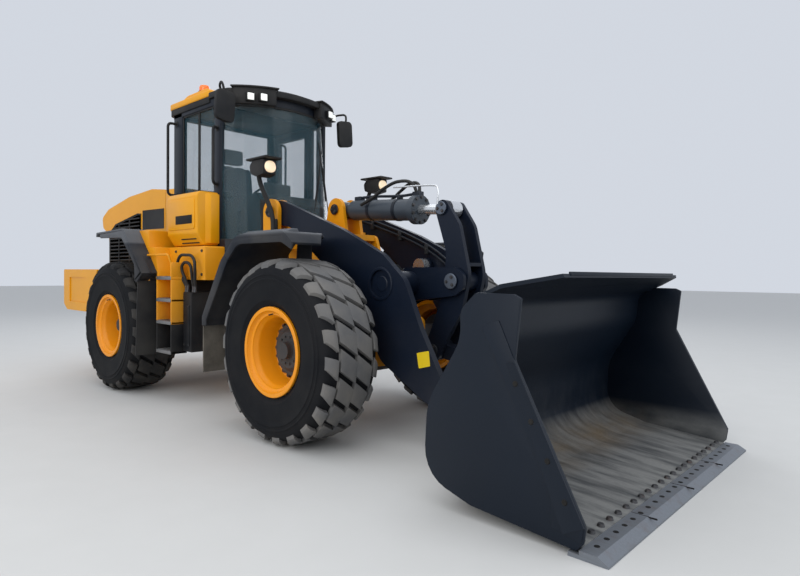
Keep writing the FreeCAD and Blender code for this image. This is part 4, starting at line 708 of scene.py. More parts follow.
def tailGrille():
    bm = bmesh.new()
    for i in range(9):
        z = 1.60 + i * 0.045
        x = -3.853 - 0.004
        block(bm, (x - 0.012, -0.46, z), (x + 0.004, 0.46, z + 0.022), 0.003, 1)
    for y in (-0.47, -0.01, 0.45):
        block(bm, (-3.870, y, 1.57), (-3.852, y + 0.022, 2.0), 0.003, 1)
    return finishPiece("tail_grille", bm, "hood", blackPlastic)


tailGrille()
print("hood trim done")


# bucket: side cutters, edge bolts, guard lip, wear strips on the back

bucketTrim = {"half": 1.352, "bolts": 22, "boltRow": 3.958, "boltTop": 0.052, "cutterThick": 0.012,
              "cutterWide": 0.105,
              "studs": 20}


def bucketDetail():
    bm = bmesh.new()
    half = bucketTrim["half"]
    front = ((4.022, 0.162), (3.600, 0.968))
    dx, dz = front[1][0] - front[0][0], front[1][1] - front[0][1]
    length = math.hypot(dx, dz)
    back = (-dz / length * bucketTrim["cutterWide"], dx / length * bucketTrim["cutterWide"])
    cutter = (front[0], front[1], (front[1][0] + back[0] * 0.55, front[1][1] + back[1] * 0.55 + 0.02),
              (front[0][0] + back[0] * 1.25, front[0][1] + back[1] * 1.25))
    for side in (-1, 1):
        panelFace(bm, cutter, half - 0.001, side, bucketTrim["cutterThick"], 0.004, 0.001)
        for x, z in ((3.905, 0.125), (3.965, 0.118)):
            drum(bm, (x, side * (half - 0.004), z), (x, side * (half + 0.0035), z), 0.016, 20, material=1)
        for t in (0.16, 0.40, 0.64, 0.88):
            at = (front[0][0] + dx * t + back[0] * 0.45, side * (half + bucketTrim["cutterThick"] - 0.002),
                  front[0][1] + dz * t + back[1] * 0.45)
            drum(bm, at, (at[0], at[1] + side * 0.006, at[2]), 0.017, 18, 0.013, material=1)
    for i in range(bucketTrim["bolts"]):
        y = -1.255 + 2.51 * i / (bucketTrim["bolts"] - 1)
        at = Vector((bucketTrim["boltRow"], y, bucketTrim["boltTop"]))
        drum(bm, at, at + Vector((0.0015, 0, 0.017)), 0.023, 14, 0.017, material=2)
    block(bm, (3.684, -0.898, 1.450), (3.704, 0.898, 1.476), 0.004, 2)
    for y in (-0.62, 0.62):
        block(bm, (2.925, y - 0.010, 0.24), (2.948, y + 0.010, 0.72), 0.004, 1)
    for z in (0.30, 0.40, 0.50):
        block(bm, (2.928, -0.48, z), (2.942, 0.48, z + 0.020), 0.004, 1)
    finishPiece("bucket_trim", bm, "bucket", bucketPaint, darkHoleShade, boltSteel)


def edgeDetail():
    bm = bmesh.new()
    for y in (-0.682, 0.0, 0.682):
        block(bm, (3.998, y - 0.002, 0.038), (4.150, y + 0.002, 0.0472), 0, 1)
    for i in range(bucketTrim["bolts"]):
        y = -1.255 + 2.51 * i / (bucketTrim["bolts"] - 1)
        # near-black discs at the bolts: painted shade in the bolt holes
        drum(bm, (4.045, y, 0.040), (4.045, y, 0.0475), 0.017, 16, 0.016)
    finishPiece("edge_marks", bm, "bucket", darkHoleShade)


bucketDetail()
edgeDetail()
print("bucket details done")


# pins: caps with their bolts, rings round the boom's bosses

pivots = {"boom": (0.215, 2.085), "tiltFoot": (0.660, 2.120), "liftFoot": (0.170, 0.930),
          "liftHead": (1.765, 1.367),
          "tip": (2.800, 0.345), "lever": (2.245, 1.395), "leverTop": (2.090, 2.035),
          "leverFoot": (2.000, 0.775),
          "link": (2.795, 0.660)}


def capDisc(bm, at, side, radius, thick, bolts, boltRing, material=0, boltMaterial=1):
    x, y, z = at
    profile = [(0, 0), (0, radius), (thick * 0.7, radius), (thick, radius - thick * 0.3), (thick, 0)]
    ringSpin(bm, [(a * side, r) for a, r in profile], at, 40, closed=False, material=material)
    for i in range(bolts):
        a = math.tau * i / bolts + 0.4
        hexBolt(bm, (x + boltRing * math.sin(a), y + side * thick * 0.98, z + boltRing * math.cos(a)),
                (0, side, 0),
                0.022, 0.013, material=boltMaterial)


def pinCaps(name, body, at, out, radius, bolts, material):
    bm = bmesh.new()
    for side in (-1, 1):
        capDisc(bm, (at[0], side * out, at[1]), side, radius, 0.012, bolts, radius * 0.58)
    finishPiece(name, bm, body, material, boltSteel, smooth=30)


pinCaps("boom_pin_caps", "front_frame", pivots["boom"], 0.6305, 0.058, 3, charcoalPaint)
pinCaps("tilt_pin_caps", "front_frame", pivots["tiltFoot"], 0.1345, 0.055, 3, charcoalPaint)
pinCaps("lift_foot_caps", "front_frame", pivots["liftFoot"], 0.4955, 0.050, 2, charcoalPaint)
pinCaps("tip_pin_caps", "bucket_pins", pivots["tip"], 0.5785, 0.066, 3, pinSteel)
pinCaps("lever_pin_caps", "lever_pin", pivots["lever"], 0.1955, 0.066, 3, pinSteel)
pinCaps("lever_top_caps", "lever", pivots["leverTop"], 0.1435, 0.058, 3, pinSteel)
pinCaps("lever_foot_caps", "lever", pivots["leverFoot"], 0.1295, 0.056, 3, charcoalPaint)
pinCaps("link_pin_caps", "link_pin", pivots["link"], 0.1375, 0.060, 3, pinSteel)


def boomDetail():
    bm = bmesh.new()
    y = 0.565
    headX, headZ = pivots["liftHead"]
    for side in (-1, 1):
        ring = [(0, 0.118), (0.008, 0.120), (0.010, 0.134), (0.006, 0.146), (-0.004, 0.148)]
        ringSpin(bm, [((y + a) * side, r) for a, r in ring], (headX, 0, headZ), 64, closed=False)
        plug = [(-0.012, 0), (-0.012, 0.062), (-0.017, 0.070)]
        ringSpin(bm, [((y + a) * side, r) for a, r in plug], (headX, 0, headZ), 40, closed=False)
        for at, low, high in ((pivots["boom"], 0.060, 0.112), (pivots["tip"], 0.066, 0.108)):
            collar = [(-0.003, low), (0.005, low + 0.003), (0.005, high - 0.005), (-0.003, high)]
            ringSpin(bm, [((y + a) * side, r) for a, r in collar], (at[0], 0, at[1]), 48, closed=False)
    finishPiece("boom_bosses", bm, "boom", boomPaint, smooth=26)
    # steel pipes with clamps along the inside of the arms
    line = ((0.36, 2.130), (0.80, 1.985), (1.20, 1.845), (1.50, 1.705), (1.72, 1.560))
    for side in (-1, 1):
        for k, drop in enumerate((0.0, 0.045)):
            points = [(x - drop * 0.3, side * 0.488, z - drop) for x, z in line]
            pipe(f"boom_pipe_{sideName(side)}_{k}", points, 0.013, "boom", charcoalPaint)
    bm = bmesh.new()
    for side in (-1, 1):
        for x, z in ((0.60, 2.028), (1.02, 1.888), (1.40, 1.735)):
            low = (x - 0.022, min(side * 0.470, side * 0.507), z - 0.072)
            high = (x + 0.022, max(side * 0.470, side * 0.507), z + 0.030)
            block(bm, low, high, 0.005, 2)
            hexBolt(bm, (x, side * 0.470, z - 0.022), (0, -side, 0), 0.018, 0.010, material=1)
    finishPiece("boom_clamps", bm, "boom", castIron, boltSteel)


boomDetail()
print("pins and boom details done")


# tilt cylinder: gland bolts, ports, pipe and level rod

tiltFrom = Vector((pivots["tiltFoot"][0], 0, pivots["tiltFoot"][1]))
tiltTo = Vector((pivots["leverTop"][0], 0, pivots["leverTop"][1]))
tiltAlong = (tiltTo - tiltFrom).normalized()
tiltUp = Vector((-tiltAlong.z, 0, tiltAlong.x))


def tiltSpot(along, y, up):
    return tiltFrom + tiltAlong * along + Vector((0, y, 0)) + tiltUp * up


def tiltDetail():
    bm = bmesh.new()
    for i in range(10):
        a = math.tau * i / 10
        spot = tiltSpot(1.073, 0.117 * math.sin(a), 0.117 * math.cos(a))
        hexBolt(bm, spot, tiltAlong, 0.026, 0.018, material=1)
    for along in (0.235, 1.030):
        lift = 0.098 if along < 1 else 0.130
        made = block(bm, (-0.045, -0.034, -0.020), (0.045, 0.034, 0.040))
        bmesh.ops.translate(bm, vec=tiltSpot(along, 0.0, lift), verts=made)
    for along in (0.45, 0.80):
        band = [(-0.018, 0.1045), (-0.018, 0.1095), (0.018, 0.1095), (0.018, 0.1045)]
        made = ringSpin(bm, band, (0, 0, 0), 48, closed=False)
        turn = Vector((0, 1, 0)).rotation_difference(tiltAlong).to_matrix()
        bmesh.ops.rotate(bm, verts=made, cent=(0, 0, 0), matrix=turn)
        bmesh.ops.translate(bm, vec=tiltSpot(along, 0, 0), verts=made)
        made = block(bm, (-0.018, -0.030, 0.0), (0.018, 0.030, 0.020), 0.004, 1)
        bmesh.ops.translate(bm, vec=tiltSpot(along, 0, 0.106), verts=made)
    finishPiece("tilt_gland_bolts", bm, "tilt_barrel", charcoalPaint, boltSteel)
    pipe("tilt_pipe", [tiltSpot(0.27, 0.0, 0.128), tiltSpot(0.42, 0.0, 0.136), tiltSpot(0.85, 0.0, 0.136),
                       tiltSpot(0.99, 0.0, 0.150)], 0.014, "tilt_barrel", charcoalPaint)
    for k, y in enumerate((-0.045, 0.045)):
        pipe(f"tilt_hose_{k}", [tiltSpot(1.030, y * 0.5, 0.165), tiltSpot(0.990, y, 0.240),
                                tiltSpot(0.860, y * 1.8, 0.262),
                                tiltSpot(0.700, y * 2.6, 0.200), tiltSpot(0.560, y * 2.9, 0.110),
                                tiltSpot(0.400, y * 3.0, 0.040)], 0.016, "tilt_barrel", hoseRubber, 8, 4)
    rodEnd = 1.425
    pipe("level_rod", [tiltSpot(rodEnd, -0.190, 0.030), tiltSpot(rodEnd, -0.190, 0.150),
                       tiltSpot(rodEnd - 0.02, -0.188, 0.186),
                       tiltSpot(rodEnd - 0.06, -0.185, 0.194), tiltSpot(0.86, -0.160, 0.196)], 0.0075,
                       "tilt_rod", chrome, 10, 3)


tiltDetail()
print("tilt cylinder done")


# outlines pushed into solids

def rounded(points, steps=5):  # corners given with a radius become arcs
    line = []
    for i, corner in enumerate(points):
        here = Vector(corner[:2])
        before = Vector(points[i - 1][:2]) - here
        after = Vector(points[(i + 1) % len(points)][:2]) - here
        if len(corner) < 3 or abs(before.angle(after) - math.pi) < 0.01:
            line.append(here)
            continue
        half = before.angle(after) / 2
        reach = min(corner[2] / math.tan(half), before.length * 0.48, after.length * 0.48)
        radius = reach * math.tan(half)
        middle = here + (before.normalized() + after.normalized()).normalized() * (radius / math.sin(half))
        start = here + before.normalized() * reach - middle
        end = here + after.normalized() * reach - middle
        line += [middle + start.slerp(end, k / steps) * radius for k in range(steps + 1)]
    return line


def slab(bm, outline, low, high, plane="XZ", soften=0.004, segments=2, material=0, steps=5):
    spot = {"XZ": lambda a, b: (a, low, b), "XY": lambda a, b: (a, b, low), "YZ": lambda a,
            b: (low, a, b)}[plane]
    push = {"XZ": (0, high - low, 0), "XY": (0, 0, high - low), "YZ": (high - low, 0, 0)}[plane]
    verts = [bm.verts.new(spot(*point)) for point in rounded(outline, steps)]
    made = bmesh.ops.extrude_face_region(bm, geom=[bm.faces.new(verts)])["geom"]
    bmesh.ops.translate(bm, vec=push, verts=[v for v in made if isinstance(v, bmesh.types.BMVert)])
    island = reachFrom(verts[0])
    if soften:
        edges = list({e for v in island for e in v.link_edges if e.calc_face_angle(0) > 0.3})
        made = bmesh.ops.bevel(bm, geom=edges, offset=soften, offset_type="OFFSET", affect="EDGES",
                               segments=segments,
                               profile=0.5, material=-1, clamp_overlap=True)["verts"]
        island = reachFrom(made[0])
    for face in {f for v in island for f in v.link_faces}:
        face.material_index = material
    return island


def sides(bm, outline, near, far, **options):  # the same slab on both sides of the machine
    slab(bm, outline, near, far, "XZ", **options)
    slab(bm, outline, -far, -near, "XZ", **options)


def bar(bm, low, high, soften=0.006, material=0):
    block(bm, [min(a, b) for a, b in zip(low, high)], [max(a, b) for a, b in zip(low, high)], soften, 2,
          material=material)


# cab: shell, glass, seals, trim

cab = {"rear": -1.632, "half": 0.750, "wall": 0.055, "floor": 1.650, "sill": 1.810, "sideSill": 2.345,
       "rearSill": 2.480,
       "header": 3.318, "eave": 3.400, "centre": -0.983, "noseLow": 0.925, "noseHigh": 0.815,
       "noseFrom": 1.740,
       "post": (-0.672, -0.548), "rearPost": -1.415, "doorRear": -1.560, "doorFront": -0.836, "glass": 0.008}


def noseRadius(z):
    lean = (cab["noseLow"] - cab["noseHigh"]) / (cab["eave"] - cab["noseFrom"])
    return cab["noseLow"] - (z - cab["noseFrom"]) * lean


def noseLine(z, inset, start):  # plan line of the windscreen at one height, from right to left
    radius = noseRadius(z) - inset
    half = cab["half"] - inset
    reach = math.asin(half / radius)
    turns = [reach * (i / 16 - 1) for i in range(33)]
    arc = [(cab["centre"] + radius * math.cos(a), radius * math.sin(a), z) for a in turns]
    return [(start, -half, z)] + arc + [(start, half, z)]


def noseBand(bm, low, high, inset, thick, start, material=0):
    rows = []
    for z, depth in ((low, inset), (high, inset), (high, inset + thick), (low, inset + thick)):
        verts = [bm.verts.new(p) for p in noseLine(z, depth, start)]
        rows.append([bm.edges.new(pair) for pair in zip(verts, verts[1:])])
    faces = []
    for k in range(4):
        faces += bmesh.ops.bridge_loops(bm, edges=rows[k] + rows[(k + 1) % 4])["faces"]
    for face in faces:
        face.material_index = material
    bmesh.ops.holes_fill(bm, edges=[e for e in bm.edges if len(e.link_faces) == 1])


def cabShell():
    bm = bmesh.new()
    half, wall, rear = cab["half"], cab["wall"], cab["rear"]
    post = cab["post"]
    floorLine = [(p[0], p[1]) for p in noseLine(cab["floor"], wall, rear + 0.02)]
    slab(bm, floorLine, cab["floor"], cab["floor"] + 0.06, "XY", 0)
    roofLine = [(p[0], p[1]) for p in noseLine(cab["eave"], 0.02, rear + 0.02)]
    slab(bm, roofLine, cab["eave"] - 0.03, cab["eave"] - 0.004, "XY", 0, material=1)
    noseBand(bm, cab["floor"], cab["sill"], 0.0, wall, post[0])
    noseBand(bm, cab["header"], cab["eave"], 0.0, wall, post[0])
    for side in (-1, 1):
        out, into = half * side, (half - wall) * side
        bar(bm, (rear, into, cab["header"]), (post[1], out, cab["eave"]))
        bar(bm, (rear, into, cab["floor"]), (post[1], out, 1.710))
        bar(bm, (post[0], into, cab["floor"]), (post[1], out + 0.004 * side, cab["eave"] - 0.01), 0.012)
        bar(bm, (rear, 0.600 * side, cab["floor"]), (rear + wall, out - 0.012 * side, cab["eave"] - 0.01),
            0.012)
    # right side: rear post and the closed panel under the window
    bar(bm, (rear, -half + wall, cab["floor"]), (cab["rearPost"], -half, cab["eave"] - 0.01), 0.014)
    bar(bm, (rear + 0.01, -half + wall, cab["floor"] + 0.02),
        (post[0] + 0.01, -half + 0.004, cab["sideSill"]), 0.008)
    # left side: posts round the door, its cut-off corner over the fender
    bar(bm, (rear, half - wall, cab["floor"]), (cab["doorRear"], half, cab["eave"] - 0.01), 0.010)
    bar(bm, (cab["doorFront"], half - wall, cab["floor"]), (-0.775, half, cab["eave"] - 0.01), 0.010)
    bar(bm, (-0.79, half - wall, cab["floor"] + 0.02), (post[0] + 0.01, half - 0.004, 2.10), 0.008)
    slab(bm, [(-1.560, 1.70), (-1.560, 1.926), (-1.378, 1.70)], half - wall, half, soften=0.004)
    for z in (2.00, 2.925):
        drum(bm, (-0.839, 0.762, z + 0.0612), (-0.839, 0.762, z + 0.121), 0.0115, 20)
        bar(bm, (-0.839, half - 0.001, z + 0.0612), (-0.795, 0.759, z + 0.121), 0.002)
    # rear: panel under the window, header
    bar(bm, (rear, -half + 0.1, cab["floor"] + 0.02), (rear + wall * 0.8, half - 0.1, cab["rearSill"]), 0.008)
    bar(bm, (rear, -half + 0.05, cab["header"]), (rear + wall, half - 0.05, cab["eave"]), 0.008)
    finishPiece("cab_shell", bm, "rear_frame", cabPaint, ceilingCloth, stands=("cab_frame",), smooth=30)


def cabPanes():
    bm = bmesh.new()
    half, mid = cab["half"], cab["wall"] / 2
    noseBand(bm, cab["sill"] - 0.004, cab["header"] + 0.004, mid - 0.004, cab["glass"], cab["post"][1] - 0.01)
    bar(bm, (cab["rearPost"] - 0.01, -half + mid - 0.004, cab["sideSill"] - 0.005),
        (cab["post"][0] + 0.01, -half + mid + 0.004, cab["header"] + 0.005), 0.002)
    bar(bm, (-0.785, half - mid - 0.004, 2.095), (cab["post"][0] + 0.01, half - mid + 0.004,
                                                  cab["header"] + 0.005), 0.002)
    bar(bm, (cab["rear"] + mid - 0.004, -0.605, cab["rearSill"] - 0.005),
        (cab["rear"] + mid + 0.004, 0.605, cab["header"] + 0.005), 0.002)
    finishPiece("cab_panes", bm, "rear_frame", cabGlass, stands=("cab_glass",))


def sealRing(bm, x0, x1, z0, z1, y, wide=0.018, thick=0.008):
    for low, high in (((x0, z0), (x1, z0 + wide)), ((x0, z1 - wide), (x1, z1)),
                      ((x0, z0), (x0 + wide, z1)), ((x1 - wide, z0), (x1, z1))):
        bar(bm, (low[0], y, low[1]), (high[0], y + thick, high[1]), 0.003)


def cabSeals():
    bm = bmesh.new()
    half = cab["half"]
    sealRing(bm, cab["rearPost"], cab["post"][0], cab["sideSill"], cab["header"], -half + 0.010)
    for x in (-1.052, -1.028):  # meeting edges of the sliding window
        bar(bm, (x - 0.010, -half + 0.014, cab["sideSill"]), (x + 0.006, -half + 0.028, cab["header"]), 0.003)
    noseBand(bm, cab["sill"] - 0.012, cab["sill"] + 0.014, 0.006, 0.018, cab["post"][1] - 0.004)
    noseBand(bm, cab["header"] - 0.020, cab["header"] + 0.006, 0.006, 0.018, cab["post"][1] - 0.004)
    finishPiece("cab_seals", bm, "rear_frame", trimRubber)


def doorTrim():
    bm = bmesh.new()
    half = cab["half"]
    for z0, z1 in ((1.735, 1.750), (3.285, 3.300)):
        bar(bm, (-1.360, half - 0.001, z0), (-0.860, half + 0.006, z1), 0.003)
    for x0, x1 in ((-1.546, -1.531), (-0.866, -0.851)):
        bar(bm, (x0, half - 0.001, 1.95), (x1, half + 0.006, 3.30), 0.003)
    bar(bm, (-1.535, half - 0.002, 2.30), (-1.480, half + 0.022, 2.46), 0.008)
    drum(bm, (-1.508, half + 0.020, 2.40), (-1.508, half + 0.030, 2.40), 0.013, 20)
    finishPiece("door_trim", bm, "cab_door", trimRubber)


def wipers():
    bm = bmesh.new()
    sweeps = ((6, 1.900, 29, 2.86), (41, 1.900, 27, 2.94))
    for first, low, last, high in sweeps:
        at = windscreenAt(low, first)
        drum(bm, (at[0] - 0.02, at[1], low), (at[0] + 0.04, at[1], low), 0.022, 20, soften=0.004)
    finishPiece("wiper_hubs", bm, "rear_frame", blackPlastic)
    for k, (first, low, last, high) in enumerate(sweeps):
        for name, start, end, away, thick in (("arm", 0.0, 0.80, 0.040, 0.006),
                                              ("blade", 0.42, 1.08, 0.012, 0.008)):
            points = []
            for i in range(5):
                t = start + (end - start) * i / 4
                z = low + (high - low) * t
                at = windscreenAt(z, first + (last - first) * t)
                points.append((at[0] + away * (1 - 0.5 * t), at[1], z))
            pipe(f"wiper_{name}_{k}", points, thick, "rear_frame", blackPlastic, 6, 3)


def windscreenAt(z, degrees):
    radius = noseRadius(z)
    return (cab["centre"] + radius * math.cos(math.radians(degrees)),
            radius * math.sin(math.radians(degrees)))


cabShell()
cabPanes()
cabSeals()
doorTrim()
wipers()
print("cab shell done")


# inside the cab: seat, console, dashboard, steering wheel

def cushion(bm, low, high, grooves=0,
            material=0):  # padded block, rounded by smoothing, with sewn channels across it
    start = len(bm.verts)
    bmesh.ops.create_cube(bm, size=1)
    bm.verts.ensure_lookup_table()
    edges = list({e for v in bm.verts[start:] for e in v.link_edges})
    bmesh.ops.subdivide_edges(bm, edges=edges, cuts=11, use_grid_fill=True)
    bm.verts.ensure_lookup_table()
    made = bm.verts[start:]
    for _ in range(7):
        bmesh.ops.smooth_vert(bm, verts=made, factor=0.5, use_axis_x=True, use_axis_y=True, use_axis_z=True)
    reach = [max(abs(v.co[k]) for v in made) for k in range(3)]
    size = Vector(high) - Vector(low)
    centre = (Vector(high) + Vector(low)) / 2
    for vert in made:
        at = [vert.co[k] / reach[k] / 2 for k in range(3)]
        sink = 1 - 0.05 * max(0, math.cos(at[1] * grooves * math.tau)) ** 8 if grooves else 1
        vert.co = Vector((at[0] * size.x * sink, at[1] * size.y, at[2] * size.z * sink)) + centre
    for face in {f for v in made for f in v.link_faces}:
        face.material_index = material
    return made


def cabInside():
    bm = bmesh.new()
    lift = 1.71
    cushion(bm, (-1.46, -0.26, lift + 0.34), (-0.92, 0.26, lift + 0.50), 3)
    back = cushion(bm, (-1.54, -0.25, lift + 0.46), (-1.38, 0.25, lift + 1.12), 3)
    bmesh.ops.rotate(bm, verts=back, cent=(-1.46, 0, lift + 0.46),
                     matrix=Matrix.Rotation(math.radians(-7), 3, "Y"))
    cushion(bm, (-1.60, -0.14, lift + 1.15), (-1.49, 0.14, lift + 1.34))
    for side in (-1, 1):
        cushion(bm, (-1.42, side * 0.31 - 0.035, lift + 0.66), (-1.04, side * 0.31 + 0.035, lift + 0.73))
    finishPiece("seat_cushions", bm, "rear_frame", seatCloth, smooth=60, stands=("operator_station",))
    bm = bmesh.new()
    slab(bm, [(-1.44, lift), (-1.48, lift + 0.33, 0.03), (-0.98, lift + 0.33, 0.03), (-1.02, lift)], -0.20,
         0.20, soften=0.015)
    for z in (0.06, 0.12, 0.18, 0.24):
        bar(bm, (-1.475, -0.215, lift + z), (-0.985, 0.215, lift + z + 0.028), 0.012)
    bar(bm, (-1.47, -0.49, lift), (-0.90, -0.30, lift + 0.60), 0.03)
    slab(bm, [(-0.64, lift), (-0.64, 2.16, 0.04), (-0.56, 2.32, 0.06), (-0.33, 2.36, 0.06),
              (-0.20, 2.24, 0.05), (-0.20, lift)],
         -0.44, 0.44, soften=0.02)
    slab(bm, [(-0.66, lift), (-0.74, 2.28, 0.03), (-0.66, 2.34, 0.03), (-0.52, lift)], -0.085, 0.085,
         soften=0.02)
    bar(bm, (-0.46, -0.25, 2.355), (-0.43, 0.12, 2.50), 0.012)
    for y in (-0.43, -0.39, -0.35):
        drum(bm, (-1.08, y, lift + 0.60), (-1.075, y, lift + 0.70), 0.008, 12, 0.011)
    drum(bm, (-1.20, -0.40, lift + 0.60), (-1.19, -0.40, lift + 0.72), 0.010, 16)
    finishPiece("cab_fittings", bm, "rear_frame", blackPlastic, smooth=30)
    bm = bmesh.new()
    turn = Matrix.Rotation(math.radians(-28), 3, "Y") @ Matrix.Rotation(math.radians(90), 3, "X")
    ring = [(0.013 * math.cos(a * math.tau / 10),
             0.190 + 0.013 * math.sin(a * math.tau / 10)) for a in range(10)]
    ringSpin(bm, ring, (0, 0, 0), 48)
    for a in (0, 120, 240):
        turned = Matrix.Rotation(math.radians(a), 3, "Y")
        made = block(bm, (-0.014, -0.006, 0.02), (0.014, 0.006, 0.184), 0.004, 1)
        bmesh.ops.rotate(bm, verts=made, cent=(0, 0, 0), matrix=turned)
    drum(bm, (0, -0.022, 0), (0, 0.022, 0), 0.046, 24, soften=0.008)
    bmesh.ops.rotate(bm, verts=bm.verts, cent=(0, 0, 0), matrix=turn)
    bmesh.ops.translate(bm, vec=(-0.735, 0, 2.40), verts=bm.verts)
    finishPiece("steering_wheel", bm, "rear_frame", trimRubber, smooth=40)


cabInside()
print("inside of the cab done")


# roof: crown, gutter, visor with lamp pods, beacon

visor = {"radius": 0.905, "rear": -0.765, "low": 3.402, "high": 3.470, "podFrom": 20, "podTo": 49}


def arcPoints(radius, first, last, steps=12):
    turns = [math.radians(first + (last - first) * i / steps) for i in range(steps + 1)]
    return [(cab["centre"] + radius * math.cos(a), radius * math.sin(a)) for a in turns]


def roofPieces():
    bm = bmesh.new()
    rear, front, half = -1.748, visor["rear"], 0.775
    slab(bm, [(rear, -half, 0.10), (front, -half), (front, half), (rear, half, 0.10)], 3.432, 3.505, "XY",
         0.020, 3)
    crown = [(rear + 0.05, 3.49), (rear + 0.10, 3.520, 0.05), (-1.42, 3.586, 0.30), (-0.98, 3.588, 0.25),
             (-0.83, 3.530, 0.10),
             (front + 0.002, 3.49)]
    slab(bm, crown, -half + 0.09, half - 0.09, soften=0.026, segments=3)
    finishPiece("roof_crown", bm, "rear_frame", yellowPaint, smooth=40, stands=("cab_roof",))
    bm = bmesh.new()
    slab(bm, [(rear + 0.012, -half + 0.01, 0.09), (front, -half + 0.01), (front, half - 0.01),
              (rear + 0.012, half - 0.01, 0.09)],
         3.362, 3.436, "XY", 0.008)
    reach = math.degrees(math.asin(half / visor["radius"]))
    brim = [(front - 0.001, -half)] + arcPoints(visor["radius"], -reach, reach, 40) + [(front - 0.001, half)]
    slab(bm, brim, visor["low"], visor["high"], "XY", 0.012, steps=1)
    inner = [(front - 0.001, -half + 0.06)] + arcPoints(visor["radius"] - 0.075, -reach * 0.96, reach * 0.96,
                                                        40) \
        + [(front - 0.001, half - 0.06)]
    slab(bm, inner, visor["high"] - 0.01, visor["high"] + 0.030, "XY", 0.012, steps=1)
    for side in (-1, 1):
        first, last = visor["podFrom"] * side, visor["podTo"] * side
        pod = arcPoints(visor["radius"] + 0.030, first, last, 8) + arcPoints(0.822, last, first, 8)
        slab(bm, pod, 3.295, visor["high"] + 0.012, "XY", 0.012, steps=1)
        lid = arcPoints(visor["radius"] + 0.050, first - 1.5 * side, last + 1.5 * side, 8) \
            + arcPoints(0.80, last + 1.5 * side, first - 1.5 * side, 8)
        slab(bm, lid, visor["high"] + 0.004, visor["high"] + 0.022, "XY", 0.005, steps=1)
    finishPiece("roof_visor", bm, "rear_frame", blackPlastic, smooth=34)


def lampFace(bm, at, turn, half, deep):  # square lens in a bezel
    for low, high, material in (((0, -half, -half), (deep, half, half), 0),
                                ((deep - 0.006, -half + 0.009, -half + 0.009),
                                 (deep + 0.004, half - 0.009, half - 0.009), 1)):
        made = block(bm, low, high, 0.008, 2, material=material)
        bmesh.ops.rotate(bm, verts=made, cent=(0, 0, 0), matrix=turn)
        bmesh.ops.translate(bm, vec=at, verts=made)


def workLamps():
    bm = bmesh.new()
    for side in (-1, 1):
        for degrees in (30, 38.5):
            a = math.radians(degrees) * side
            out = Vector((math.cos(a), math.sin(a), 0))
            spot = Vector((cab["centre"], 0, 3.362)) + out * (visor["radius"] + 0.018)
            lampFace(bm, spot, Matrix.Rotation(a * 0.35, 3, "Z"), 0.046, 0.062)
    finishPiece("work_lamps_dressed", bm, "rear_frame", blackPlastic, whiteLens, stands=("work_lamps",))


def beaconPiece():
    bm = bmesh.new()
    at = (-1.165, -0.600)
    turnY = Matrix.Rotation(math.radians(90), 3, "X")
    foot = [(3.490, 0), (3.490, 0.074), (3.592, 0.074), (3.597, 0.068), (3.597, 0)]
    dome = [(3.597, 0.060), (3.604, 0.062), (3.650, 0.060), (3.668, 0.050), (3.674, 0.030), (3.676, 0)]
    ringSpin(bm, foot, (0, 0, 0), 40, closed=False)
    ringSpin(bm, dome, (0, 0, 0), 40, closed=False, material=1)
    bmesh.ops.rotate(bm, verts=bm.verts, cent=(0, 0, 0), matrix=turnY)
    bmesh.ops.translate(bm, vec=(at[0], at[1], 0), verts=bm.verts)
    finishPiece("beacon_dressed", bm, "rear_frame", blackPlastic, amberLens, stands=("beacon",))


def headLamps():
    bm = bmesh.new()
    for side in (-1, 1):
        y = 0.790 * side
        shell = [(0.225, 2.44, 0.03), (0.205, 2.52, 0.05), (0.255, 2.568, 0.03), (0.448, 2.568, 0.01),
                 (0.442, 2.425, 0.01),
                 (0.320, 2.405, 0.04)]
        slab(bm, shell, y - 0.076, y + 0.076, soften=0.022, segments=3)
        bar(bm, (0.170, y - 0.100, 2.572), (0.520, y + 0.100, 2.594), 0.010)
        lens = [(y - 0.066, 2.440, 0.06), (y - 0.060, 2.556, 0.055), (y + 0.060, 2.556, 0.055),
                (y + 0.066, 2.440, 0.06)]
        slab(bm, lens, 0.440, 0.466, "YZ", 0.010, 3, material=1)
        slab(bm, [(y - 0.075, 2.431, 0.06), (y - 0.068, 2.564, 0.055), (y + 0.068, 2.564, 0.055),
                  (y + 0.075, 2.431, 0.06)],
             0.436, 0.450, "YZ", 0.003, material=2)
        foot = 0.6305 * side
        bar(bm, (0.270, foot, 1.880), (0.360, foot + 0.026 * side, 2.000), 0.006)
    finishPiece("head_lamps_dressed", bm, "front_frame", blackPlastic, headLens, charcoalPaint,
                stands=("head_lamps",))
    for side in (-1, 1):
        pipe("lamp_post_" + sideName(side),
             [(0.335, 0.668 * side, 1.895), (0.325, 0.672 * side, 2.02), (0.275, 0.715 * side, 2.22),
              (0.240, 0.760 * side, 2.36),
              (0.250, 0.788 * side, 2.46)], 0.024, "front_frame", blackPlastic)


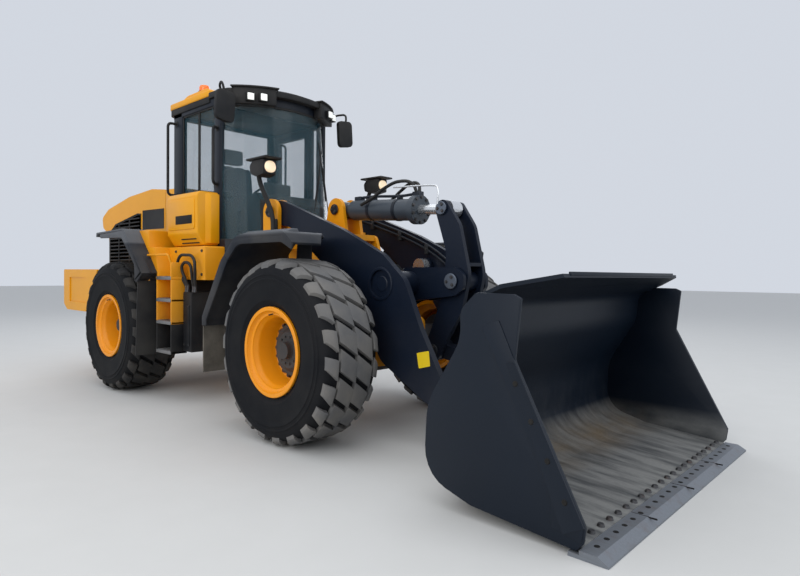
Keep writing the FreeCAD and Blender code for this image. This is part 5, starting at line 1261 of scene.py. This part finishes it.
def mirrorPieces():
    bm = bmesh.new()
    for side in (-1, 1):
        start = len(bm.verts)
        head = [(-0.118, -0.165, 0.05), (-0.105, 0.165, 0.05), (0.118, 0.165, 0.05), (0.108, -0.150, 0.06)]
        slab(bm, head, -0.028, 0.026, "YZ", 0.016, 3)
        inset = [(-0.100, -0.145, 0.04), (-0.090, 0.148, 0.04), (0.102, 0.148, 0.04), (0.093, -0.132, 0.05)]
        slab(bm, inset, -0.031, -0.026, "YZ", 0.001, 1, material=1)
        bm.verts.ensure_lookup_table()
        made = bm.verts[start:]
        if side < 0:
            bmesh.ops.scale(bm, vec=(1, -1, 1), verts=made)
        bmesh.ops.rotate(bm, verts=made, cent=(0, 0, 0),
                         matrix=Matrix.Rotation(math.radians(6 * side), 3, "X"))
        bmesh.ops.translate(bm, vec=(-0.290, 0.850 * side, 3.215), verts=made)
    finishPiece("mirror_heads", bm, "rear_frame", blackPlastic, mirrorGlass, smooth=40, stands=("mirrors",))
    for side in (-1, 1):
        pipe("mirror_arm_" + sideName(side),
             [(-0.52, 0.745 * side, 3.440), (-0.47, 0.800 * side, 3.462), (-0.38, 0.850 * side, 3.478),
              (-0.31, 0.872 * side, 3.465),
              (-0.288, 0.868 * side, 3.420), (-0.288, 0.860 * side, 3.360)], 0.013, "rear_frame",
              blackPlastic, 8)


def railPieces():
    for side in (-1, 1):
        y0, y1 = 0.748 * side, 0.862 * side
        bentPipe("rear_rail_" + sideName(side),
                 [(-1.552, y0, 2.385), (-1.552, y1, 2.385), (-1.552, y1, 3.250), (-1.552, y0, 3.250)], 0.050,
                 0.016, "rear_frame",
                 blackPlastic)
    bentPipe("front_rail", [(-0.600, -0.752, 2.430), (-0.541, -0.842, 2.430), (-0.541, -0.842, 3.050),
                            (-0.600, -0.752, 3.050)],
             0.050, 0.016, "rear_frame", blackPlastic)
    bm = bmesh.new()
    for x, z in ((-1.552, 2.385), (-1.552, 3.250)):
        for side in (-1, 1):
            bar(bm, (x - 0.030, 0.748 * side, z - 0.032), (x + 0.030, 0.756 * side, z + 0.032), 0.003)
    for z in (2.430, 3.050):
        bar(bm, (-0.636, -0.750, z - 0.032), (-0.576, -0.758, z + 0.032), 0.003)
    finishPiece("rail_feet", bm, "rear_frame", blackPlastic, stands=("handrails",))


roofPieces()
workLamps()
beaconPiece()
headLamps()
mirrorPieces()
railPieces()
print("roof, lamps, mirrors and rails done")


# yellow box under the right window

sideBoxTrim = {"rear": -1.265, "front": -0.550, "out": 1.010, "low": 1.750, "top": 2.335}


def sideBox():
    bm = bmesh.new()
    rear, front, out = sideBoxTrim["rear"], sideBoxTrim["front"], -sideBoxTrim["out"]
    low, top = sideBoxTrim["low"], sideBoxTrim["top"]
    half = -cab["half"] - 0.003
    outline = [(half, low), (out + 0.085, low, 0.02), (out + 0.004, low + 0.130, 0.05),
               (out, top - 0.05, 0.03),
               (out + 0.030, top, 0.04), (half, top)]
    slab(bm, outline, rear, front - 0.030, "YZ", 0.014, 3)
    # raised face panel, the opening line of the lid, slots in the lower chamfer drawn as near-black blocks of
    # painted shade
    face = [(rear + 0.040, low + 0.175, 0.03), (front - 0.075, low + 0.175, 0.03),
            (front - 0.075, top - 0.075, 0.03),
            (rear + 0.040, top - 0.075, 0.03)]
    slab(bm, face, out - 0.007, out + 0.01, soften=0.006)
    slab(bm, [(front - 0.045, half), (front - 0.045, out + 0.075), (front, out + 0.150, 0.03), (front, half)],
         low + 0.02, top - 0.02,
         "XY", 0.010)
    turn = Matrix.Rotation(math.radians(-33), 3, "X")
    for i, (x0, x1) in enumerate(((rear + 0.24, front - 0.09), (rear + 0.27, front - 0.11))):
        made = block(bm, ((x0 - x1) / 2, -0.006, -0.010), ((x1 - x0) / 2, 0.006, 0.010), 0.004, 1, material=1)
        bmesh.ops.rotate(bm, verts=made, cent=(0, 0, 0), matrix=turn)
        bmesh.ops.translate(bm, vec=((x0 + x1) / 2, out + 0.068 - 0.026 * i, low + 0.030 + 0.042 * i),
                            verts=made)
    slab(bm, [(-1.040, 1.985, 0.006), (-0.670, 1.985, 0.006), (-0.670, 2.080, 0.006), (-1.040, 2.080, 0.006)],
         out - 0.0100, out - 0.006,
         soften=0.001, material=1)
    for z in (low + 0.26, top - 0.16):
        bar(bm, (rear - 0.004, out + 0.03, z - 0.03), (rear + 0.012, out + 0.06, z + 0.03), 0.004, material=2)
    finishPiece("side_box_dressed", bm, "rear_frame", yellowPaint, darkHoleShade, boltSteel, stands=("side_box",),
                smooth=34)


# platforms, side walls, ladders, boxes and hoses beside the cab

deck = {"z": 1.400, "thick": 0.030, "rear": -1.200, "front": -0.830, "out": 1.170, "in": 0.553}


def ladder(bm, low, high, steps, gap=0.012, material=0):
    rear, front, out, into = -1.190, -0.830, deck["out"], deck["out"] - 0.170
    for side in (-1, 1):
        for x in (rear, front - 0.022):
            bar(bm, (x, into * side, low), (x + 0.022, out * side, high), 0.005, material)
        bar(bm, (rear, (into - gap) * side, low), (front, into * side, high), 0.003, material)
        for z in steps:
            bar(bm, (rear, into * side, z), (front, out * side, z + 0.026), 0.004, material)


def treadPlates(bm, steps, material=0):
    for side in (-1, 1):
        for z in steps:
            bar(bm, (-1.182, 1.010 * side, z + 0.024), (-0.838, 1.1735 * side, z + 0.031), 0.002, material)
            bar(bm, (-1.182, 1.1690 * side, z - 0.004), (-0.838, 1.1740 * side, z + 0.031), 0.002, material)
            for i in range(9):
                bar(bm, (-1.165 + 0.038 * i, 1.022 * side, z + 0.029),
                    (-1.153 + 0.038 * i, 1.160 * side, z + 0.035), 0.002, material)


def sideWalls():
    bm = bmesh.new()
    low, top = deck["z"] - deck["thick"], 1.7365
    step = -1.275
    for side in (-1, 1):
        near, far = sorted((deck["in"] * side, deck["out"] * side))
        bar(bm, (deck["rear"], near, low), (deck["front"], far, deck["z"]), 0.005)
    lower = [(deck["rear"], low), (deck["rear"], 1.440), (-1.482, top), (-0.450, top, 0.02), (-0.450, low)]
    sides(bm, lower, 0.700, 0.980, soften=0.008)
    upper = [(deck["rear"] - 0.02, low + 0.02), (deck["rear"] - 0.02, 1.452), (-1.678, 1.940),
             (-1.425, 1.940, 0.02), (-1.425, top),
             (step, top, 0.02), (-1.170, low + 0.02)]
    sides(bm, upper, 0.757, 1.150, soften=0.010)
    for side in (-1, 1):
        # fixing bolts, the seam of the upper wall, a bracket with its bolt
        for x, z in ((-0.52, 1.685), (-0.52, 1.43), (-1.10, 1.685)):
            hexBolt(bm, (x, 0.980 * side, z), (0, side, 0), 0.024, 0.012, material=1)
        bar(bm, (-1.500, 1.149 * side, 1.290), (-1.385, 1.158 * side, 1.370), 0.004)
        bar(bm, (-1.205, 0.96 * side, 1.270), (-1.195, 1.158 * side, 1.395), 0.004)
        hexBolt(bm, (-1.442, 1.157 * side, 1.330), (0, side, 0), 0.026, 0.012, material=1)
        bar(bm, (-0.862, 0.96 * side, 1.395), (-0.832, 1.170 * side, 1.560), 0.006)
    finishPiece("side_walls", bm, "rear_frame", yellowFrame, boltSteel, stands=("side_platforms",), smooth=34)
    for side in (-1, 1):
        bentPipe("grab_bar_" + sideName(side), [(-1.365, 1.148 * side, 1.640), (-1.365, 1.196 * side, 1.645),
                                                (-0.853, 1.196 * side, 1.645),
                                      (-0.853, 1.160 * side, 1.545)], 0.035, 0.011, "rear_frame", yellowFrame)


def ladders():
    bm = bmesh.new()
    ladder(bm, 0.880, 1.3695, (0.880, 1.128))
    treadPlates(bm, (0.880, 1.128, 1.372), 1)
    finishPiece("ladders_dressed", bm, "rear_frame", yellowFrame, wornTread, stands=("ladders",), smooth=34)
    bm = bmesh.new()
    ladder(bm, 0.555, 0.8795, (0.555,))
    treadPlates(bm, (0.555,), 1)
    for side in (-1, 1):
        near, far = sorted((0.450 * side, 1.038 * side))
        block(bm, (-0.829, near, 0.700 - 0.12), (-0.640, far, 1.236), 0.014, 2)
        near, far = sorted((0.555 * side, 0.985 * side))
        block(bm, (-1.288, near, 0.600), (-0.832, far, 1.365), 0.014, 2)
        bar(bm, (-0.795, 1.036 * side, 0.64), (-0.675, 1.044 * side, 1.10), 0.006)
        for x, z in ((-0.785, 0.66), (-0.685, 0.66), (-0.785, 1.08), (-0.685, 1.08)):
            hexBolt(bm, (x, 1.043 * side, z), (0, side, 0), 0.018, 0.009, material=2)
    finishPiece("step_boxes_dressed", bm, "rear_frame", blackPlastic, wornTread, boltSteel,
                stands=("step_boxes",), smooth=34)


def hosePieces():
    bm = bmesh.new()
    feet = (-0.800, -0.760, -0.640, -0.600)
    for x in feet:
        drum(bm, (x, -1.012, 1.236), (x, -1.012, 1.262), 0.019, 6)
        drum(bm, (x, -1.012, 1.262), (x, -1.012, 1.300), 0.0155, 20)
        drum(bm, (x, -1.012, 1.296), (x, -1.012, 1.318), 0.018, 20, 0.014)
    finishPiece("hose_fittings", bm, "rear_frame", boltSteel, smooth=30)
    for name, (a, b, top) in {"outer": (0, 3, 1.640), "inner": (1, 2, 1.560)}.items():
        x0, x1 = feet[a], feet[b]
        spread = 0.105 if name == "outer" else 0.055
        spots = [(x0, 1.30), (x0 - spread * 0.35, 1.38), (x0 - spread, 1.50),
                 (x0 - spread * 0.75, top - 0.030),
                 ((x0 + x1) / 2 - 0.03, top), (x1 + spread * 0.45, top - 0.045), (x1 + spread * 0.7, 1.47),
                 (x1 + spread * 0.3, 1.37),
                 (x1, 1.30)]
        made = pipe("hose_" + name, [(x, -1.012 - 0.055 * math.sin(min(1, (z - 1.3) * 6)), z) for x,
                                     z in spots], 0.0165, "rear_frame",
                    hoseRubber, 8, 5)
        if name == "outer":
            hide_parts("hoses")


sideBox()
sideWalls()
ladders()
hosePieces()
print("side box, walls, ladders and hoses done")


# fenders and flaps

rearGuard = {"top": 1.960, "bend": -1.700, "end": -2.510, "front": (-1.206, 1.440), "in": 0.760, "out": 1.330,
             "wall": 0.022}


def rearFenders():
    bm = bmesh.new()
    top, bend, end, wall = rearGuard["top"], rearGuard["bend"], rearGuard["end"], rearGuard["wall"]
    fx, fz = rearGuard["front"]
    band = [(fx, fz), (bend, top, 0.10), (end, top - 0.022, 0.02), (end - 0.004, top - 0.075),
            (end + wall, top - 0.075),
            (end + wall, top - 0.022 - wall, 0.01), (bend - 0.014, top - wall, 0.09), (fx - 0.034, fz)]
    sides(bm, band, rearGuard["in"], rearGuard["out"], soften=0.008)
    cheek = [(fx, fz), (bend - 0.010, top - 0.022, 0.06), (end + 0.10, top - 0.045),
             (end + 0.12, top - 0.095, 0.02),
             (bend - 0.060, top - 0.110, 0.08), (-1.405, 1.530, 0.06), (-1.395, 1.345, 0.03), (-1.330, 1.338)]
    sides(bm, cheek, rearGuard["out"] - 0.024, rearGuard["out"], soften=0.010)
    under = [(fx, fz), (fx - 0.040, fz + 0.014), (-1.397, 1.366), (-1.397, 1.342)]
    sides(bm, under, 1.176, rearGuard["out"], soften=0.004)
    for side in (-1, 1):  # folded rib along the sloping front, bracket to the frame
        rib = [(fx + 0.004, fz + 0.010), (bend + 0.050, top - 0.070, 0.05), (bend + 0.036, top - 0.062),
               (fx - 0.010, fz + 0.018)]
        near, far = sorted((1.218 * side, 1.236 * side))
        slab(bm, rib, near, far, soften=0.004)
        arm = [(0.3903, 1.270), (0.3903, 1.296), (0.670, 1.296), (0.670, top), (0.770, top),
               (0.770, top - wall), (0.692, top - wall),
               (0.692, 1.270)]
        slab(bm, [(y * side, z) for y, z in arm], -2.345, -2.025, "YZ", 0.004)
    finishPiece("rear_fenders_dressed", bm, "rear_frame", fenderPlastic, stands=("rear_fenders",), smooth=30)
    bm = bmesh.new()
    flap = [(-1.394, 0.500, 0.03), (-1.382, 0.500, 0.01), (-1.330, 1.352), (-1.344, 1.352)]
    sides(bm, flap, 0.955, 1.318, soften=0.003)
    finishPiece("rear_flaps", bm, "rear_frame", trimRubber)


def frontFenders():
    bm = bmesh.new()
    axle, wall = 1.215, 0.024
    leg = 0.1195
    band = [(leg, 0.940), (leg, 1.020, 0.04), (axle - 0.760, 1.560, 0.26), (axle - 0.520, 1.790, 0.22),
            (axle + 0.185, 1.800, 0.12),
            (axle + 0.315, 1.700), (axle + 0.300, 1.680), (axle + 0.175, 1.800 - wall, 0.10),
            (axle - 0.510, 1.790 - wall, 0.20),
            (axle - 0.735, 1.550, 0.24), (leg + wall, 1.010, 0.03), (leg + wall, 0.940)]
    inner, outer = 0.6405, 1.330
    sides(bm, band, inner, outer, soften=0.0)
    for side in (-1, 1):  # the nose's inner corner is cut off at a slant
        spot = Vector((1.100, inner * side, 0))
        along = Vector((0.415, 0.380 * side, 0))
        normal = Vector((along.y, -along.x, 0)) * side
        half = [v for v in bm.verts if v.co.y * side > 0]
        edges = [e for e in bm.edges if e.verts[0].co.y * side > 0]
        geom = half + edges + [f for f in bm.faces if f.verts[0].co.y * side > 0]
        cut = bmesh.ops.bisect_plane(bm, geom=geom, plane_co=spot, plane_no=normal,
                                     clear_outer=True)["geom_cut"]
        bmesh.ops.holes_fill(bm, edges=[e for e in cut if isinstance(e, bmesh.types.BMEdge)])
    sharp = [e for e in bm.edges if e.calc_face_angle(0) > 0.5]
    bmesh.ops.bevel(bm, geom=sharp, offset=0.006, offset_type="OFFSET", affect="EDGES", segments=2,
                    profile=0.5, material=-1,
                    clamp_overlap=True)
    lip = [(axle - 0.705, 1.615), (axle - 0.512, 1.784, 0.20), (axle + 0.185, 1.796, 0.10),
           (axle + 0.313, 1.699), (axle + 0.305, 1.640),
           (axle + 0.165, 1.705, 0.10), (axle - 0.480, 1.705, 0.18), (axle - 0.640, 1.565)]
    sides(bm, lip, outer - 0.020, outer + 0.002, soften=0.008)
    faceStrip = [(leg - 0.002, 0.945), (leg - 0.002, 1.030, 0.04), (axle - 0.765, 1.560, 0.26),
                 (axle - 0.705, 1.613),
             (axle - 0.642, 1.566), (axle - 0.690, 1.500, 0.2), (leg + 0.075, 1.000, 0.04),
             (leg + 0.075, 0.945)]
    sides(bm, faceStrip, outer - 0.020, outer + 0.001, soften=0.006)
    for side in (-1, 1):
        plan = [(0.100, 0.2803), (0.160, 0.2803), (0.160, 0.655), (0.270, 0.700), (0.270, 1.000),
                (0.100, 1.000)]
        slab(bm, [(x, y * side) for x, y in plan], 1.185, 1.210, "XY", 0.004)
    for side in (-1, 1):  # sloping shoulder between the top and the outer face
        shoulder = [(1.150, 1.795), (1.165, 1.824, 0.01), (1.215, 1.824, 0.01), (1.333, 1.775),
                    (1.333, 1.755), (1.30, 1.755)]
        slab(bm, [(p[0] * side, *p[1:]) for p in shoulder], axle - 0.480, axle + 0.175, "YZ", 0.005)
    # skirt on the inside, behind the nose
    skirt = [(axle - 0.500, 1.560), (axle - 0.480, 1.786), (axle - 0.270, 1.790), (axle - 0.270, 1.560)]
    sides(bm, skirt, 0.6545, 0.668, soften=0.002)
    finishPiece("front_fenders_dressed", bm, "front_frame", fenderPlastic, stands=("front_fenders",),
                smooth=30)


rearFenders()
frontFenders()


def boomLabels():
    bm = bmesh.new()
    for side in (-1, 1):
        plate = [(2.190, 0.808, 0.008), (2.318, 0.838, 0.008), (2.334, 0.716, 0.008), (2.214, 0.684, 0.008)]
        slab(bm, plate, *sorted((0.5642 * side, 0.5674 * side)), soften=0.001, segments=1)
    finishPiece("boom_labels", bm, "boom", labelFace)


boomLabels()


# cover between the hood and the cab

def hoodCollar():
    bm = bmesh.new()
    outline = [(-2.074, 1.490), (-2.074, 2.519, 0.02), (cab["rear"], 2.500), (cab["rear"], 1.490)]
    slab(bm, outline, -0.640, 0.640, soften=0.010)
    finishPiece("hood_collar", bm, "rear_frame", yellowPaint)


hoodCollar()
print("fenders and collar done")


# bucket: bent sheet, side plates, ears with their eyes

shellSheet = {"wall": 0.024, "half": 1.352, "ears": (0.084, 0.126), "innerEars": (0.463, 0.505),
              "outerEars": (0.577, 0.619)}


def eyePlate(bm, centre, radius, bore, near, far,
             root):  # a disc with its bore, and the plate that carries it
    x, z = centre
    ring = [(near, bore), (near, radius), (far, radius), (far, bore)]
    ringSpin(bm, ring, (x, 0, z), 48)
    slab(bm, root, min(near, far) + 0.0005, max(near, far) - 0.0005, soften=0.003)


def bucketShell():
    bm = bmesh.new()
    wall, half = shellSheet["wall"], shellSheet["half"]
    line = [(3.995, 0.026), (3.330, 0.086, 0.200), (2.950, 0.190, 0.330), (2.962, 0.640, 0.420),
            (3.225, 1.060, 0.300),
            (3.235, 1.290, 0.130), (3.481, 1.400, 0.200), (3.695, 1.463)]
    outer = rounded(line, 9)
    verts = [bm.verts.new((p[0], -half + wall, p[1])) for p in outer]
    edges = [bm.edges.new(pair) for pair in zip(verts, verts[1:])]
    made = bmesh.ops.extrude_edge_only(bm, edges=edges)["geom"]
    bmesh.ops.translate(bm, vec=(0, 2 * (half - wall), 0),
                        verts=[v for v in made if isinstance(v, bmesh.types.BMVert)])
    bmesh.ops.recalc_face_normals(bm, faces=bm.faces)
    upright = max(bm.faces, key=lambda f: -f.calc_center_median().x)
    if upright.normal.x > 0:
        bmesh.ops.reverse_faces(bm, faces=bm.faces)
    bmesh.ops.solidify(bm, geom=bm.faces[:] + bm.edges[:] + bm.verts[:], thickness=wall)
    for side in (-1, 1):  # the guard's corners are cut at a slant
        spot = Vector((3.500, (half - 0.060) * side, 0))
        along = Vector((3.755 - 3.500, (0.900 - half + 0.060) * side, 0))
        normal = Vector((-along.y, along.x, 0)) * side
        high = {f for f in bm.faces if f.calc_center_median().z > 1.30}
        parts = list(high) + list({e for f in high for e in f.edges})
        parts += list({v for f in high for v in f.verts})
        cut = bmesh.ops.bisect_plane(bm, geom=parts, plane_co=spot, plane_no=normal,
                                     clear_outer=True)["geom_cut"]
        bmesh.ops.holes_fill(bm, edges=[e for e in cut if isinstance(e, bmesh.types.BMEdge)])
    plate = [(3.632, 1.324, 0.010), (3.586, 1.345, 0.010), (3.330, 1.349, 0.060), (3.214, 1.240, 0.100),
             (3.222, 1.064, 0.300),
             (2.962, 0.640, 0.400), (2.942, 0.190, 0.330), (3.302, 0.084, 0.200), (3.975, 0.030),
             (4.012, 0.073, 0.010),
             (4.025, 0.162, 0.060), (3.596, 0.975, 0.060)]
    sides(bm, plate, half - wall, half, soften=0.004)
    cutter = [(3.372, 1.152, 0.010), (3.493, 1.197, 0.010), (3.602, 0.968, 0.060), (4.018, 0.166, 0.040),
              (4.006, 0.080, 0.010),
              (3.838, 0.118, 0.010), (3.826, 0.292, 0.040), (3.470, 0.975, 0.040)]
    sides(bm, cutter, half - 0.002, half + 0.006, soften=0.003)
    tipRoot = [(2.830, 0.456), (2.965, 0.640), (2.962, 0.300), (3.040, 0.206), (2.830, 0.240)]
    linkRoot = [(2.825, 0.745), (3.080, 0.860), (2.958, 0.620), (2.955, 0.560), (2.825, 0.575)]
    for side in (-1, 1):
        for near, far in (shellSheet["innerEars"], shellSheet["outerEars"]):
            eyePlate(bm, pivots["tip"], 0.117, 0.0555, near * side, far * side, tipRoot)
        near, far = shellSheet["ears"]
        eyePlate(bm, pivots["link"], 0.098, 0.0555, near * side, far * side, linkRoot)
    finishPiece("bucket_dressed", bm, "bucket", bucketPaint, stands=("bucket",), smooth=24)


bucketShell()
print("bucket shell done")
